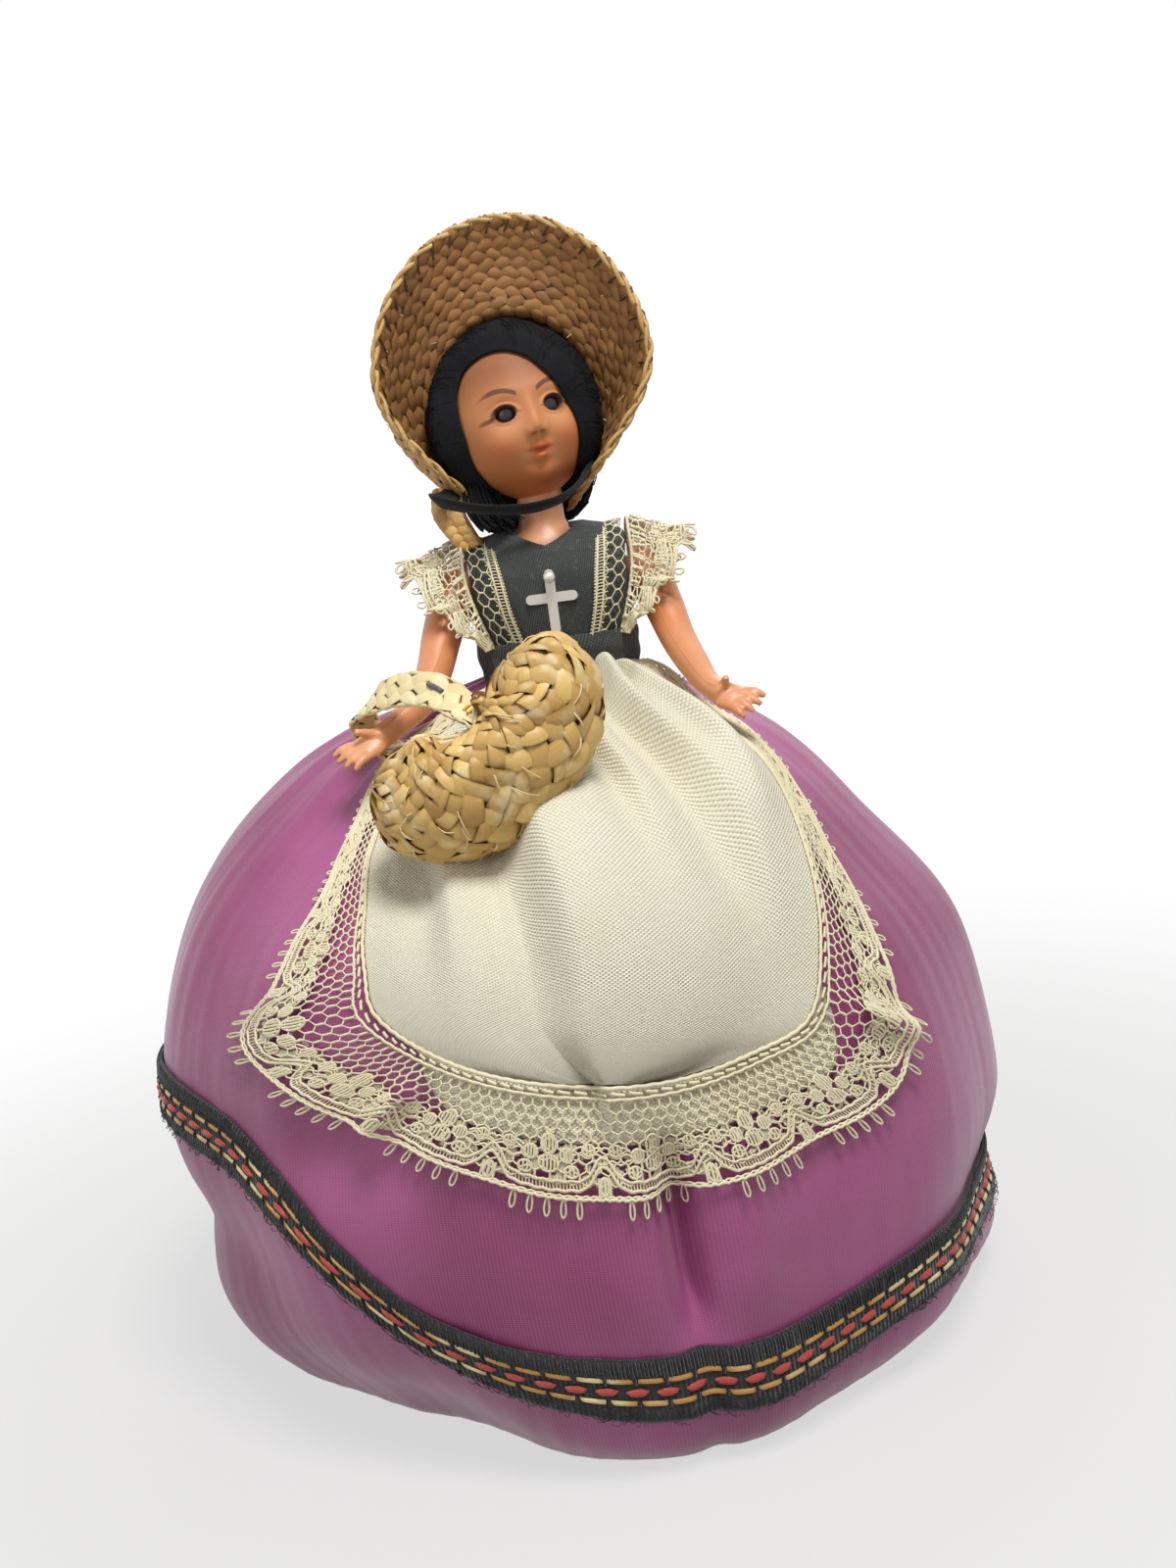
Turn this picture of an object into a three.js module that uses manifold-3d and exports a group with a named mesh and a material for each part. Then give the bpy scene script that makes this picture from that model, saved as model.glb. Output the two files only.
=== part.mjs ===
// Costume doll in regional dress, millimetres, +Z up, facing -Y, so +X is the doll's left.
// The origin is on the ground under the middle of the skirt.
import * as THREE from "three";
import { mergeVertices } from "three/addons/utils/BufferGeometryUtils.js";
import Module from "manifold-3d";

const wasm = await Module();
wasm.setup();

// Driving dimensions
const CLEARANCE = 0.35; // running and dressing gap between neighbouring pieces
const BODY_X = 6.5; // the body stands this far to the doll's left of the skirt's middle
const WAIST_Z = 114.5;
const WALL = 1.3; // hard plastic of the body
const NECK_RADIUS = 4.1;
const NECK_TOP_Z = 147.5;
const SHOULDER_Z = 132.8;
const SHOULDER_X = 14.3; // joint plane of each arm, from the body's axis
const SHOULDER_HOLE = 2.3;
const NECK_BORE = 2.9;
const CLOTH = 0.7; // bodice cloth with its lining
const BODICE_TOP_Z = 139.2;
const WAISTBAND_HEIGHT = 6;
const WAISTBAND_Z = 115.6;

// Head
const HEAD_PIVOT = new THREE.Vector3(0, 0, 146.2); // from the body's axis
const HEAD_TURN = THREE.MathUtils.degToRad(13);
const HEAD_TILT = THREE.MathUtils.degToRad(-6);
const HEAD_ROLL = THREE.MathUtils.degToRad(-7);
const HEAD_SIZE = new THREE.Vector3(12, 12.6, 15.2); // half width, half depth, half height
const HEAD_CENTRE_Z = 14.2; // above the pivot
const HEAD_WALL = 1.0;
const NECK_HOLE = 5.2;
const EYE_RADIUS = 2.7;
const EYE_X = 4.25; // middle of each eye opening, from the middle of the face
const EYE_OPENING = new THREE.Vector2(1.75, 1.3);
const EYE_RECESS = 0.25;
const HAIR = 1.9; // thickness of the wig over the skull
const HAIR_DROP = 17.6; // how far the wig falls below the middle of the head

// Skirt: height, radius and sideways middle of each ring from waist to hem
const SKIRT_RINGS = [
  { z: 113.4, r: 14.2, x: 6.5 },
  { z: 108, r: 33, x: -2 },
  { z: 98, r: 49, x: -2.8 },
  { z: 82, r: 62, x: -3.3 },
  { z: 62, r: 71.5, x: -1.6 },
  { z: 42, r: 75, x: 0 },
  { z: 22, r: 74, x: 0.7 },
  { z: 8, r: 69.6, x: 2 },
  { z: -0.5, r: 63, x: 3 },
];
const SKIRT_CLOTH = 0.7;
const PETTICOAT_GAP = 1.6;
const FOLD_DEPTH = 1.6;
const FRONT_PLEAT = 2; // depth of the one long fold right of the middle
const BASKET_DENT = 10; // how far the basket presses the cloth in
const BRAID_WIDTH = 10;
const BRAID_THICKNESS = 0.7;
const BRAID_LIFT = 0.5;
const APRON_CLOTH = 0.5;
const LACE_THICKNESS = 0.5;
const APRON_LIFT = 0.8; // air between the skirt and what lies on it
const APRON_TURN = 0.06; // the apron's middle, radians round from the front

// Small metal
const CROSS_LENGTH = 11.2;
const CROSS_SPAN = 9;
const CROSS_BAR = 1.7;
const CROSS_THICKNESS = 0.5;
const PIN_HEAD = 1.05;
const PIN_SHAFT = 0.35;
const PIN_Z = 132.4;

// Basket
const BASKET_WALL = 1.3;
const BASKET_HALF_HEIGHT = 10.6;
const BASKET_HALF_DEPTH = 7.6;
const HANDLE_WIDTH = 4;
const HANDLE_THICKNESS = 0.9;

// Solids and meshes

function material(color, roughness, metalness = 0) {
  return new THREE.MeshStandardMaterial({ color, roughness, metalness });
}

function solid(geometry) {
  const bare = geometry.clone();
  bare.deleteAttribute("normal");
  bare.deleteAttribute("uv");
  const merged = mergeVertices(bare, 1e-4);
  const index = merged.index.array;
  const kept = [];
  for (let i = 0; i < index.length; i += 3) {
    const [a, b, c] = [index[i], index[i + 1], index[i + 2]];
    if (a !== b && b !== c && c !== a) kept.push(a, b, c);
  }
  const vertProperties = new Float32Array(merged.attributes.position.array);
  const mesh = new wasm.Mesh({ numProp: 3, vertProperties, triVerts: new Uint32Array(kept) });
  mesh.merge();
  return new wasm.Manifold(mesh);
}

function geometryOf(manifold) {
  const mesh = manifold.getMesh();
  const geometry = new THREE.BufferGeometry();
  geometry.setAttribute("position", new THREE.BufferAttribute(mesh.vertProperties, 3));
  geometry.setIndex(new THREE.BufferAttribute(mesh.triVerts, 1));
  geometry.computeVertexNormals();
  return geometry;
}

// The main body of a cut solid, without the crumbs that a cut leaves.
function largest(manifold) {
  return manifold.decompose().reduce((a, b) => (b.volume() > a.volume() ? b : a));
}

function union(...parts) {
  return parts.reduce((sum, part) => sum.add(part));
}

function piece(name, shape, surface) {
  const geometry = shape.isBufferGeometry ? shape : geometryOf(shape);
  const mesh = new THREE.Mesh(geometry, surface);
  mesh.name = name;
  return mesh;
}

// A closed solid from rings of points, each ring with as many points, capped at both ends.
function loft(rings) {
  const count = rings[0].length;
  const points = rings.flat();
  const first = new THREE.Vector3();
  const last = new THREE.Vector3();
  rings[0].forEach((p) => first.addScaledVector(p, 1 / count));
  rings[rings.length - 1].forEach((p) => last.addScaledVector(p, 1 / count));
  const lastRing = (rings.length - 1) * count;
  const index = [];
  for (let j = 0; j < rings.length - 1; j++) {
    for (let i = 0; i < count; i++) {
      const a = j * count + i;
      const b = j * count + ((i + 1) % count);
      index.push(a, b, b + count, a, b + count, a + count);
    }
  }
  for (let i = 0; i < count; i++) {
    const next = (i + 1) % count;
    index.push(points.length, next, i);
    index.push(points.length + 1, lastRing + i, lastRing + next);
  }
  const geometry = new THREE.BufferGeometry().setFromPoints([...points, first, last]);
  geometry.setIndex(index);
  const made = solid(geometry);
  if (made.volume() > 0) return made;
  for (let i = 0; i < index.length; i += 3) [index[i], index[i + 1]] = [index[i + 1], index[i]];
  geometry.setIndex(index);
  return solid(geometry);
}

// An upright loft of ellipses: each section has z, rx, ry and, if off the axis, x and y.
function ovalLoft(sections, grow = 0, sides = 18) {
  return loft(
    sections.map(({ z, rx, ry, x = 0, y = 0 }) =>
      Array.from({ length: sides }, (_, i) => {
        const angle = (i / sides) * Math.PI * 2;
        return new THREE.Vector3(
          x + (rx + grow) * Math.cos(angle),
          y + (ry + grow) * Math.sin(angle),
          z,
        );
      }),
    ),
  );
}

// A limb: rings of the given radii square to a smooth curve through the points.
function limb(path, radii, sides = 10, steps = 2) {
  const curve = new THREE.CatmullRomCurve3(path);
  const rings = [];
  const total = (path.length - 1) * steps;
  const side = new THREE.Vector3();
  const up = new THREE.Vector3();
  for (let k = 0; k <= total; k++) {
    const t = k / total;
    const middle = curve.getPoint(t);
    const tangent = curve.getTangent(t);
    side.set(1, 0.2, 0.3).cross(tangent).normalize();
    up.crossVectors(tangent, side).normalize();
    const at = t * (radii.length - 1);
    const i = Math.min(Math.floor(at), radii.length - 2);
    const radius = THREE.MathUtils.lerp(radii[i], radii[i + 1], at - i);
    rings.push(
      Array.from({ length: sides }, (_, n) => {
        const angle = (n / sides) * Math.PI * 2;
        return middle
          .clone()
          .addScaledVector(side, radius * Math.cos(angle))
          .addScaledVector(up, radius * Math.sin(angle));
      }),
    );
  }
  return loft(rings);
}

// A sheet of cloth, lace or straw with real thickness: place(u, v) gives its middle surface.
// It can close on itself round u, and a pole closes it to one point at v = 0.
function sheet(place, thickness, across, down, { closed = false, pole = false } = {}) {
  const step = 1e-3;
  const columns = closed ? across : across + 1;
  const faces = [[], []];
  for (let j = 0; j <= down; j++) {
    for (let i = 0; i < columns; i++) {
      const atPole = pole && j === 0;
      const u = atPole ? 0 : i / across;
      const v = j / down;
      const u0 = closed ? u - step : Math.max(u - step, 0);
      const u1 = closed ? u + step : Math.min(u + step, 1);
      const v0 = Math.max(v - step, 0);
      const v1 = Math.min(v + step, 1);
      const row = atPole ? step : v;
      const along = place(u1, row).sub(place(u0, row));
      const below = place(u, v1).sub(place(u, v0));
      const normal = along.cross(below).normalize();
      if (atPole) normal.copy(poleNormal(place));
      const middle = place(u, v);
      faces[0].push(middle.clone().addScaledVector(normal, thickness / 2));
      faces[1].push(middle.clone().addScaledVector(normal, -thickness / 2));
    }
  }
  const layer = faces[0].length;
  const at = (side, i, j) => side * layer + j * columns + (closed ? i % columns : i);
  const index = [];
  const quad = (a, b, c, d) => index.push(a, b, c, a, c, d);
  for (let j = 0; j < down; j++) {
    for (let i = 0; i < across; i++) {
      quad(at(0, i, j), at(0, i + 1, j), at(0, i + 1, j + 1), at(0, i, j + 1));
      quad(at(1, i, j + 1), at(1, i + 1, j + 1), at(1, i + 1, j), at(1, i, j));
    }
  }
  for (let i = 0; i < across; i++) {
    quad(at(1, i, 0), at(1, i + 1, 0), at(0, i + 1, 0), at(0, i, 0));
    quad(at(0, i, down), at(0, i + 1, down), at(1, i + 1, down), at(1, i, down));
  }
  for (let j = 0; j < down && !closed; j++) {
    quad(at(0, 0, j), at(0, 0, j + 1), at(1, 0, j + 1), at(1, 0, j));
    quad(at(1, across, j), at(1, across, j + 1), at(0, across, j + 1), at(0, across, j));
  }
  const geometry = new THREE.BufferGeometry().setFromPoints([...faces[0], ...faces[1]]);
  geometry.setIndex(index);
  const made = solid(geometry);
  if (made.volume() > 0) return made;
  for (let i = 0; i < index.length; i += 3) [index[i], index[i + 1]] = [index[i + 1], index[i]];
  geometry.setIndex(index);
  return solid(geometry);
}

function poleNormal(place) {
  const near = 0.02;
  const a = place(0, near).sub(place(0.5, near));
  const b = place(0.25, near).sub(place(0.75, near));
  return b.cross(a).normalize();
}

function ball(radius, { x = 0, y = 0, z = 0 } = {}, scale = new THREE.Vector3(1, 1, 1), wide = 14) {
  const geometry = new THREE.SphereGeometry(radius, wide, Math.round(wide * 0.7));
  geometry.rotateX(Math.PI / 2);
  geometry.scale(scale.x, scale.y, scale.z);
  geometry.translate(x, y, z);
  return solid(geometry);
}

// A cylinder between two points.
function rod(from, to, radius, sides = 16) {
  const length = from.distanceTo(to);
  const geometry = new THREE.CylinderGeometry(radius, radius, length, sides);
  const turn = new THREE.Quaternion().setFromUnitVectors(
    new THREE.Vector3(0, 1, 0),
    to.clone().sub(from).normalize(),
  );
  geometry.applyQuaternion(turn);
  geometry.translate((from.x + to.x) / 2, (from.y + to.y) / 2, (from.z + to.z) / 2);
  return solid(geometry);
}

function box(low, high) {
  const geometry = new THREE.BoxGeometry(high.x - low.x, high.y - low.y, high.z - low.z);
  geometry.translate((low.x + high.x) / 2, (low.y + high.y) / 2, (low.z + high.z) / 2);
  return solid(geometry);
}

const at = (x, y, z) => new THREE.Vector3(x, y, z);

// A smooth closed bump: 1 in the middle, falling to 0 a few widths away.
function bump(value, middle, width) {
  return Math.exp(-(((value - middle) / width) ** 2));
}

// A smooth line through pairs of [input, output].
function through(pairs) {
  const curve = new THREE.SplineCurve(pairs.map(([a, b]) => new THREE.Vector2(a, b)));
  return (value) => {
    let k = 0;
    while (k < pairs.length - 2 && value > pairs[k + 1][0]) k++;
    const part = (value - pairs[k][0]) / (pairs[k + 1][0] - pairs[k][0]);
    const inside = THREE.MathUtils.clamp(part, 0, 1);
    return curve.getPoint((k + inside) / (pairs.length - 1)).y;
  };
}

// Body and legs: one hollow moulding with a neck, two shoulder holes and straight legs
const TORSO = [
  { z: 90, rx: 9, ry: 7.5 },
  { z: 96, rx: 12, ry: 9.6 },
  { z: 104, rx: 12.3, ry: 9.7 },
  { z: WAIST_Z, rx: 11.4, ry: 8.6 },
  { z: 121, rx: 12.2, ry: 10 },
  { z: 127, rx: 13, ry: 10.6, y: -0.5 },
  { z: SHOULDER_Z, rx: 13.5, ry: 10.2, y: -0.5 },
  { z: 136.2, rx: 12.4, ry: 7.4, y: -0.4 },
  { z: 138.4, rx: 8.6, ry: 5.6, y: -0.3 },
  { z: 140.2, rx: 5.2, ry: 4.8 },
];
const NECK = [
  { z: 138, rx: NECK_RADIUS + 0.9, ry: NECK_RADIUS + 0.7 },
  { z: 141, rx: NECK_RADIUS, ry: NECK_RADIUS },
  { z: NECK_TOP_Z - 0.6, rx: NECK_RADIUS, ry: NECK_RADIUS },
  { z: NECK_TOP_Z, rx: NECK_RADIUS - 0.6, ry: NECK_RADIUS - 0.6 },
];
const LEG_X = 5.9;
const LEG = [
  { z: 1.3, rx: 3.1, ry: 6.4, y: -3 },
  { z: 3.4, rx: 3.1, ry: 6.2, y: -2.9 },
  { z: 5.6, rx: 2.8, ry: 4.2, y: -1.2 },
  { z: 8.2, rx: 2.7, ry: 3.1, y: -0.1 },
  { z: 16, rx: 3.1, ry: 3.5 },
  { z: 32, rx: 4.4, ry: 4.9, y: 0.6 },
  { z: 46, rx: 4.2, ry: 4.6, y: 0.3 },
  { z: 54, rx: 4.7, ry: 5, y: -0.3 },
  { z: 75, rx: 5.3, ry: 6 },
  { z: 94, rx: 5.7, ry: 6.6 },
];
const SOLE = 0.6; // the foot stands this far above the ground inside its shoe
const SHOE_TOP_Z = 5.4;

function bodyAndLegs() {
  const inner = TORSO.map((s) => ({ ...s, rx: s.rx - WALL, ry: s.ry - WALL }));
  inner[0].z += WALL;
  inner[inner.length - 1].z = TORSO[TORSO.length - 2].z;
  inner.splice(inner.length - 2, 1);
  const neckBore = rod(at(0, 0, 130), at(0, 0, NECK_TOP_Z + 2), NECK_BORE);
  const shoulderBore = rod(at(-30, 0, SHOULDER_Z), at(30, 0, SHOULDER_Z), SHOULDER_HOLE);
  const legs = [-1, 1].map((side) => ovalLoft(LEG.map((s) => ({ ...s, x: side * LEG_X })), 0, 12));
  const seats = [-1, 1].map((side) =>
    box(at(side > 0 ? SHOULDER_X - 0.9 : -30, -12, 124), at(side > 0 ? 30 : 0.9 - SHOULDER_X, 12, 140)),
  );
  return union(ovalLoft(TORSO), ovalLoft(NECK, 0, 16), ...legs)
    .subtract(ovalLoft(inner, 0, 16))
    .subtract(neckBore)
    .subtract(shoulderBore)
    .subtract(union(...seats));
}

function shoe(side) {
  const foot = LEG.slice(0, 3).map((s) => ({ ...s, x: side * LEG_X }));
  const outside = [{ ...foot[0], z: 0 }, ...foot.slice(1)];
  const room = [{ ...foot[0], z: foot[0].z - CLEARANCE }, ...foot.slice(1)];
  room.push({ ...room[2], z: room[2].z + 2 });
  return ovalLoft(outside, 1.2, 14)
    .subtract(ovalLoft(room, CLEARANCE, 14))
    .subtract(box(at(-20, -20, SHOE_TOP_Z), at(20, 20, 20)));
}

// Bodice: cloth over the torso, with a V at the neck and a hole for each arm
function bodice() {
  const dressed = TORSO.filter((s) => s.z >= WAIST_Z);
  dressed[0] = { ...dressed[0], z: WAIST_Z + CLEARANCE };
  const outer = ovalLoft(dressed, CLEARANCE + CLOTH);
  const room = ovalLoft([{ ...TORSO[3], z: WAIST_Z - 3 }, ...dressed.slice(1)], CLEARANCE);
  const neckRoom = ovalLoft(NECK.map((s) => ({ ...s })), CLEARANCE + 0.5, 16);
  const v = new THREE.Shape([
    new THREE.Vector2(-4.6, 8),
    new THREE.Vector2(4.6, 8),
    new THREE.Vector2(0.4, 0),
    new THREE.Vector2(-0.4, 0),
  ]);
  const notch = new THREE.ExtrudeGeometry(v, { depth: 20, bevelEnabled: false });
  notch.rotateX(Math.PI / 2);
  notch.translate(0, 0, 136.6);
  const armhole = rod(at(-30, 0, SHOULDER_Z - 0.6), at(30, 0, SHOULDER_Z - 0.6), 5.2, 16);
  const top = box(at(-30, -30, BODICE_TOP_Z), at(30, 30, 160));
  return outer
    .subtract(room)
    .subtract(neckRoom)
    .subtract(solid(notch))
    .subtract(armhole)
    .subtract(rod(at(0, 0, PIN_Z), at(0, -30, PIN_Z), PIN_SHAFT + 0.3, 12))
    .subtract(top);
}

function waistband() {
  const inside = CLEARANCE * 2 + CLOTH;
  const shape = [
    { ...TORSO[3], z: WAISTBAND_Z, rx: TORSO[3].rx + 0.2, ry: TORSO[3].ry + 0.3 },
    { ...TORSO[4], z: WAISTBAND_Z + WAISTBAND_HEIGHT, ry: TORSO[4].ry + 0.1 },
  ];
  const room = [{ ...shape[0], z: WAISTBAND_Z - 2 }, ...shape, { ...shape[1], z: 125 }];
  return ovalLoft(shape, inside + CLOTH).subtract(ovalLoft(room, inside));
}

// Skirt surface, by azimuth from the front and by length down the cloth
const RINGS = new THREE.CatmullRomCurve3(
  SKIRT_RINGS.map(({ r, z }) => new THREE.Vector3(r, 0, z)),
  false,
  "chordal",
);
const RING_MIDDLE = through(SKIRT_RINGS.map(({ x }, i) => [i / (SKIRT_RINGS.length - 1), x]));
const SKIRT_LENGTH = RINGS.getLength();

function skirtPoint(azimuth, length, offset = 0) {
  const share = THREE.MathUtils.clamp(length / SKIRT_LENGTH, 0, 1);
  const plain = (s) => {
    const ring = RINGS.getPointAt(s);
    return { r: ring.x, z: ring.z };
  };
  const { r, z } = plain(share);
  const before = plain(Math.max(share - 0.01, 0));
  const after = plain(Math.min(share + 0.01, 1));
  const slope = new THREE.Vector2(before.z - after.z, after.r - before.r).normalize();
  const degrees = THREE.MathUtils.radToDeg(azimuth);
  const full = THREE.MathUtils.smoothstep(share, 0.08, 0.6);
  const gathers = 0.35 * Math.cos(azimuth * 24 + 0.6) * bump(share, 0.14, 0.12);
  const waves =
    0.5 * Math.cos(azimuth * 5 + 1.1) +
    0.35 * Math.cos(azimuth * 9 - 0.7) +
    0.25 * Math.cos(azimuth * 13 + 2.1);
  const pleat = bump(degrees, 9, 8) * THREE.MathUtils.smoothstep(share, 0.68, 0.9);
  const dent = bump(degrees, -26, 38) * bump(share, 0.25, 0.16);
  const swell =
    offset + gathers + FOLD_DEPTH * waves * full - FRONT_PLEAT * pleat - BASKET_DENT * dent;
  const hem = THREE.MathUtils.smoothstep(share, 0.9, 1);
  const radius = r + swell * THREE.MathUtils.lerp(slope.x, 1, hem);
  const height = z + swell * slope.y * (1 - hem);
  const middle = RING_MIDDLE(share * 0.999);
  return at(middle + radius * Math.sin(azimuth), -radius * Math.cos(azimuth), height);
}

function around(u) {
  return (u - 0.5) * Math.PI * 2;
}

function skirt() {
  const made = sheet((u, v) => skirtPoint(around(u), v * SKIRT_LENGTH), SKIRT_CLOTH, 44, 11, {
    closed: true,
  });
  return made.subtract(box(at(-120, -120, -5), at(120, 120, 0)));
}

function petticoat() {
  const low = SKIRT_LENGTH - 12;
  const inset = -(SKIRT_CLOTH + PETTICOAT_GAP);
  return sheet((u, v) => skirtPoint(around(u), 1.5 + v * (low - 1.5), inset), 0.6, 40, 5, {
    closed: true,
  });
}

// Braid: where its middle runs, as degrees round from the front and millimetres from the waist
const BRAID_PATH = [
  [-180, 112], [-120, 101], [-75, 95], [-50, 94.5], [-38, 99], [-29, 109], [-21, 118], [-12, 123.5],
  [0, 127], [16, 128.5], [31, 126], [44, 121], [60, 119], [90, 116], [130, 114], [180, 112],
];

function braid() {
  const run = through(BRAID_PATH);
  const offset = SKIRT_CLOTH / 2 + BRAID_LIFT + BRAID_THICKNESS / 2;
  const place = (u, v) => {
    const azimuth = around(u % 1);
    const middle = run(THREE.MathUtils.radToDeg(azimuth));
    return skirtPoint(azimuth, middle + (v - 0.5) * BRAID_WIDTH, offset);
  };
  return sheet(place, BRAID_THICKNESS, 60, 1, { closed: true });
}

// Apron and its lace: the edges of each as sideways distance and length from the waist.
// The doll's right edge hangs lower on the hip, so the two sides differ.
const APRON_EDGES = {
  right: [[-9, 0.6], [-18, 13], [-27, 25], [-33, 38], [-31.5, 52], [-30.5, 62], [-29, 69.5], [-19, 76.5], [-6, 80.8]],
  left: [[9, 0.6], [22, 12], [33, 27], [40.5, 43.5], [42, 58], [40, 70], [35, 79.5], [24, 82], [10, 83]],
};
const LACE_EDGES = {
  right: [[-15.4, 1.6], [-23, 12.5], [-32.5, 26], [-41, 40], [-45.5, 54], [-52.5, 66], [-62.5, 77], [-36, 88.4], [-10, 98.6]],
  left: [[15.4, 1.6], [30, 9], [41, 24], [49.5, 42], [52, 60], [54, 80], [51.5, 95.5], [33, 99.6], [10, 101.5]],
};
const LACE_SEAM = 1;

function edgeCurve(points) {
  return new THREE.SplineCurve(points.map(([x, y]) => new THREE.Vector2(x, y)));
}

function apronPoint(across, length, offset) {
  const radius = RINGS.getPointAt(THREE.MathUtils.clamp(length / SKIRT_LENGTH, 0, 1)).x;
  return skirtPoint(APRON_TURN + across / radius, length, offset);
}

function apron() {
  const right = edgeCurve(APRON_EDGES.right);
  const left = edgeCurve(APRON_EDGES.left);
  const offset = SKIRT_CLOTH / 2 + APRON_LIFT + APRON_CLOTH / 2;
  const place = (u, v) => {
    const p = right.getPoint(v).lerp(left.getPoint(v), u);
    return apronPoint(p.x, p.y, offset);
  };
  return sheet(place, APRON_CLOTH, 18, 11);
}

// The whole edge of one outline, from the waist down its right side and up its left.
function wholeEdge({ right, left }) {
  return edgeCurve([...right, ...left.toReversed()]);
}

function apronLace() {
  const inner = wholeEdge(APRON_EDGES);
  const outer = wholeEdge(LACE_EDGES);
  const offset = SKIRT_CLOTH / 2 + APRON_LIFT + LACE_THICKNESS / 2;
  const place = (u, v) => {
    const from = inner.getPoint(u);
    const to = outer.getPoint(u);
    const away = to.clone().sub(from);
    const p = from.addScaledVector(away, LACE_SEAM / away.length()).lerp(to, v);
    return apronPoint(p.x, p.y, offset);
  };
  return sheet(place, LACE_THICKNESS, 46, 3);
}

// Head: hollow, with an oval hole for each sleep eye and a round one for the neck
const SOCKET_DEPTH = 0.75;
const EYE_LEAN = 0.75 * Math.asin(EYE_X / HEAD_SIZE.x); // each eye looks this far outwards

function facePoint(azimuth, height) {
  const across = Math.cos(height);
  const p = at(
    HEAD_SIZE.x * across * Math.sin(azimuth),
    -HEAD_SIZE.y * across * Math.cos(azimuth),
    HEAD_SIZE.z * Math.sin(height),
  );
  const { x, z } = p;
  const pair = (middle, width) => bump(x, middle, width) + bump(x, -middle, width);
  const front = THREE.MathUtils.smoothstep(-p.y, 2, 9);
  const nose = 1.5 * bump(x, 0, 1.5) * bump(z, -3.4, 2.1) + 0.6 * bump(x, 0, 1.1) * bump(z, -0.6, 2.4);
  const socket = SOCKET_DEPTH * pair(EYE_X, 2.2) * bump(z, 0, 1.7);
  const brow = 0.35 * pair(3.6, 3) * bump(z, 3, 1.6);
  const cheek = 0.9 * pair(5.8, 3.4) * bump(z, -5.2, 3.6);
  const lips = 0.65 * bump(x, 0, 2.2) * (bump(z, -6.6, 0.8) + bump(z, -8.1, 0.8));
  const chin = bump(x, 0, 3.2) * bump(z, -11.2, 2.6);
  const throat = -1.2 * bump(z, -15, 3.4) * THREE.MathUtils.smoothstep(p.y, -6, 4);
  const out = front * (nose - socket + brow + cheek + lips + chin) + throat;
  const normal = at(p.x, p.y, p.z).divide(HEAD_SIZE).normalize();
  return p.addScaledVector(normal, out);
}

// The middle of an eyeball, set in from the face along the way that the eye looks.
function eyeCentre(side) {
  const surface = HEAD_SIZE.y * Math.sqrt(1 - (EYE_X / HEAD_SIZE.x) ** 2) - SOCKET_DEPTH;
  const depth = EYE_RADIUS + EYE_RECESS;
  return at(side * (EYE_X - depth * Math.sin(EYE_LEAN)), depth * Math.cos(EYE_LEAN) - surface, 0);
}

function eyeOpening(side) {
  const shape = new THREE.Shape();
  shape.absellipse(0, 0, EYE_OPENING.x, EYE_OPENING.y, 0, Math.PI * 2);
  const geometry = new THREE.ExtrudeGeometry(shape, {
    depth: HEAD_SIZE.y,
    bevelEnabled: false,
    curveSegments: 9,
  });
  geometry.rotateX(Math.PI / 2);
  geometry.rotateZ(side * EYE_LEAN);
  const { x, y, z } = eyeCentre(side);
  return solid(geometry.translate(x, y, z));
}

const headPose = new THREE.Quaternion().setFromEuler(
  new THREE.Euler(HEAD_TILT, HEAD_ROLL, HEAD_TURN, "ZYX"),
);
const headUpright = headPose.clone().invert();

// A geometry given upright round the neck axis, turned into the tilted head's own frame.
function uprightInHead(geometry) {
  geometry.applyQuaternion(headUpright);
  return geometry.translate(0, 0, -HEAD_CENTRE_Z);
}

function headShell() {
  const rows = 16;
  const columns = 26;
  const rings = [];
  for (let j = 1; j < rows; j++) {
    const height = (j / rows - 0.5) * Math.PI;
    const ring = [];
    for (let i = 0; i < columns; i++) ring.push(facePoint((i / columns) * Math.PI * 2, height));
    rings.push(ring);
  }
  const hollow = ball(1, {}, HEAD_SIZE.clone().subScalar(HEAD_WALL + SOCKET_DEPTH / 2), 18);
  const neckHole = new THREE.CylinderGeometry(NECK_HOLE, NECK_HOLE, 12, 18).rotateX(Math.PI / 2);
  const sockets = [-1, 1].map((side) =>
    union(ball(EYE_RADIUS + CLEARANCE, eyeCentre(side), undefined, 16), eyeOpening(side)),
  );
  return loft(rings)
    .subtract(hollow)
    .subtract(solid(uprightInHead(neckHole)))
    .subtract(union(...sockets));
}

// Eye rocker: a cross wire behind both eyeballs with a lead weight hung from it
const WEIGHT_RADIUS = 1.5;

function eyeRocker() {
  const { x, y } = eyeCentre(1);
  const barY = y + EYE_RADIUS + CLEARANCE + 0.45;
  const weightY = barY + 4.2;
  const weightZ = -3.4;
  return union(
    rod(at(-x, barY, 0), at(x, barY, 0), 0.45, 10),
    rod(at(0, barY, 0), at(0, weightY, weightZ), 0.45, 10),
    rod(at(-3, weightY, weightZ), at(3, weightY, weightZ), WEIGHT_RADIUS, 14),
  );
}

// Neck hook: a wire with a bar across the neck hole inside the head and an eye for the elastic
const HOOK_WIRE = 0.5;
const ELASTIC_RADIUS = 0.7;
const HOOK_EYE = 2.1;
const HOOK_SET = THREE.MathUtils.degToRad(10); // square to the elastic half way round its turn

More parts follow.
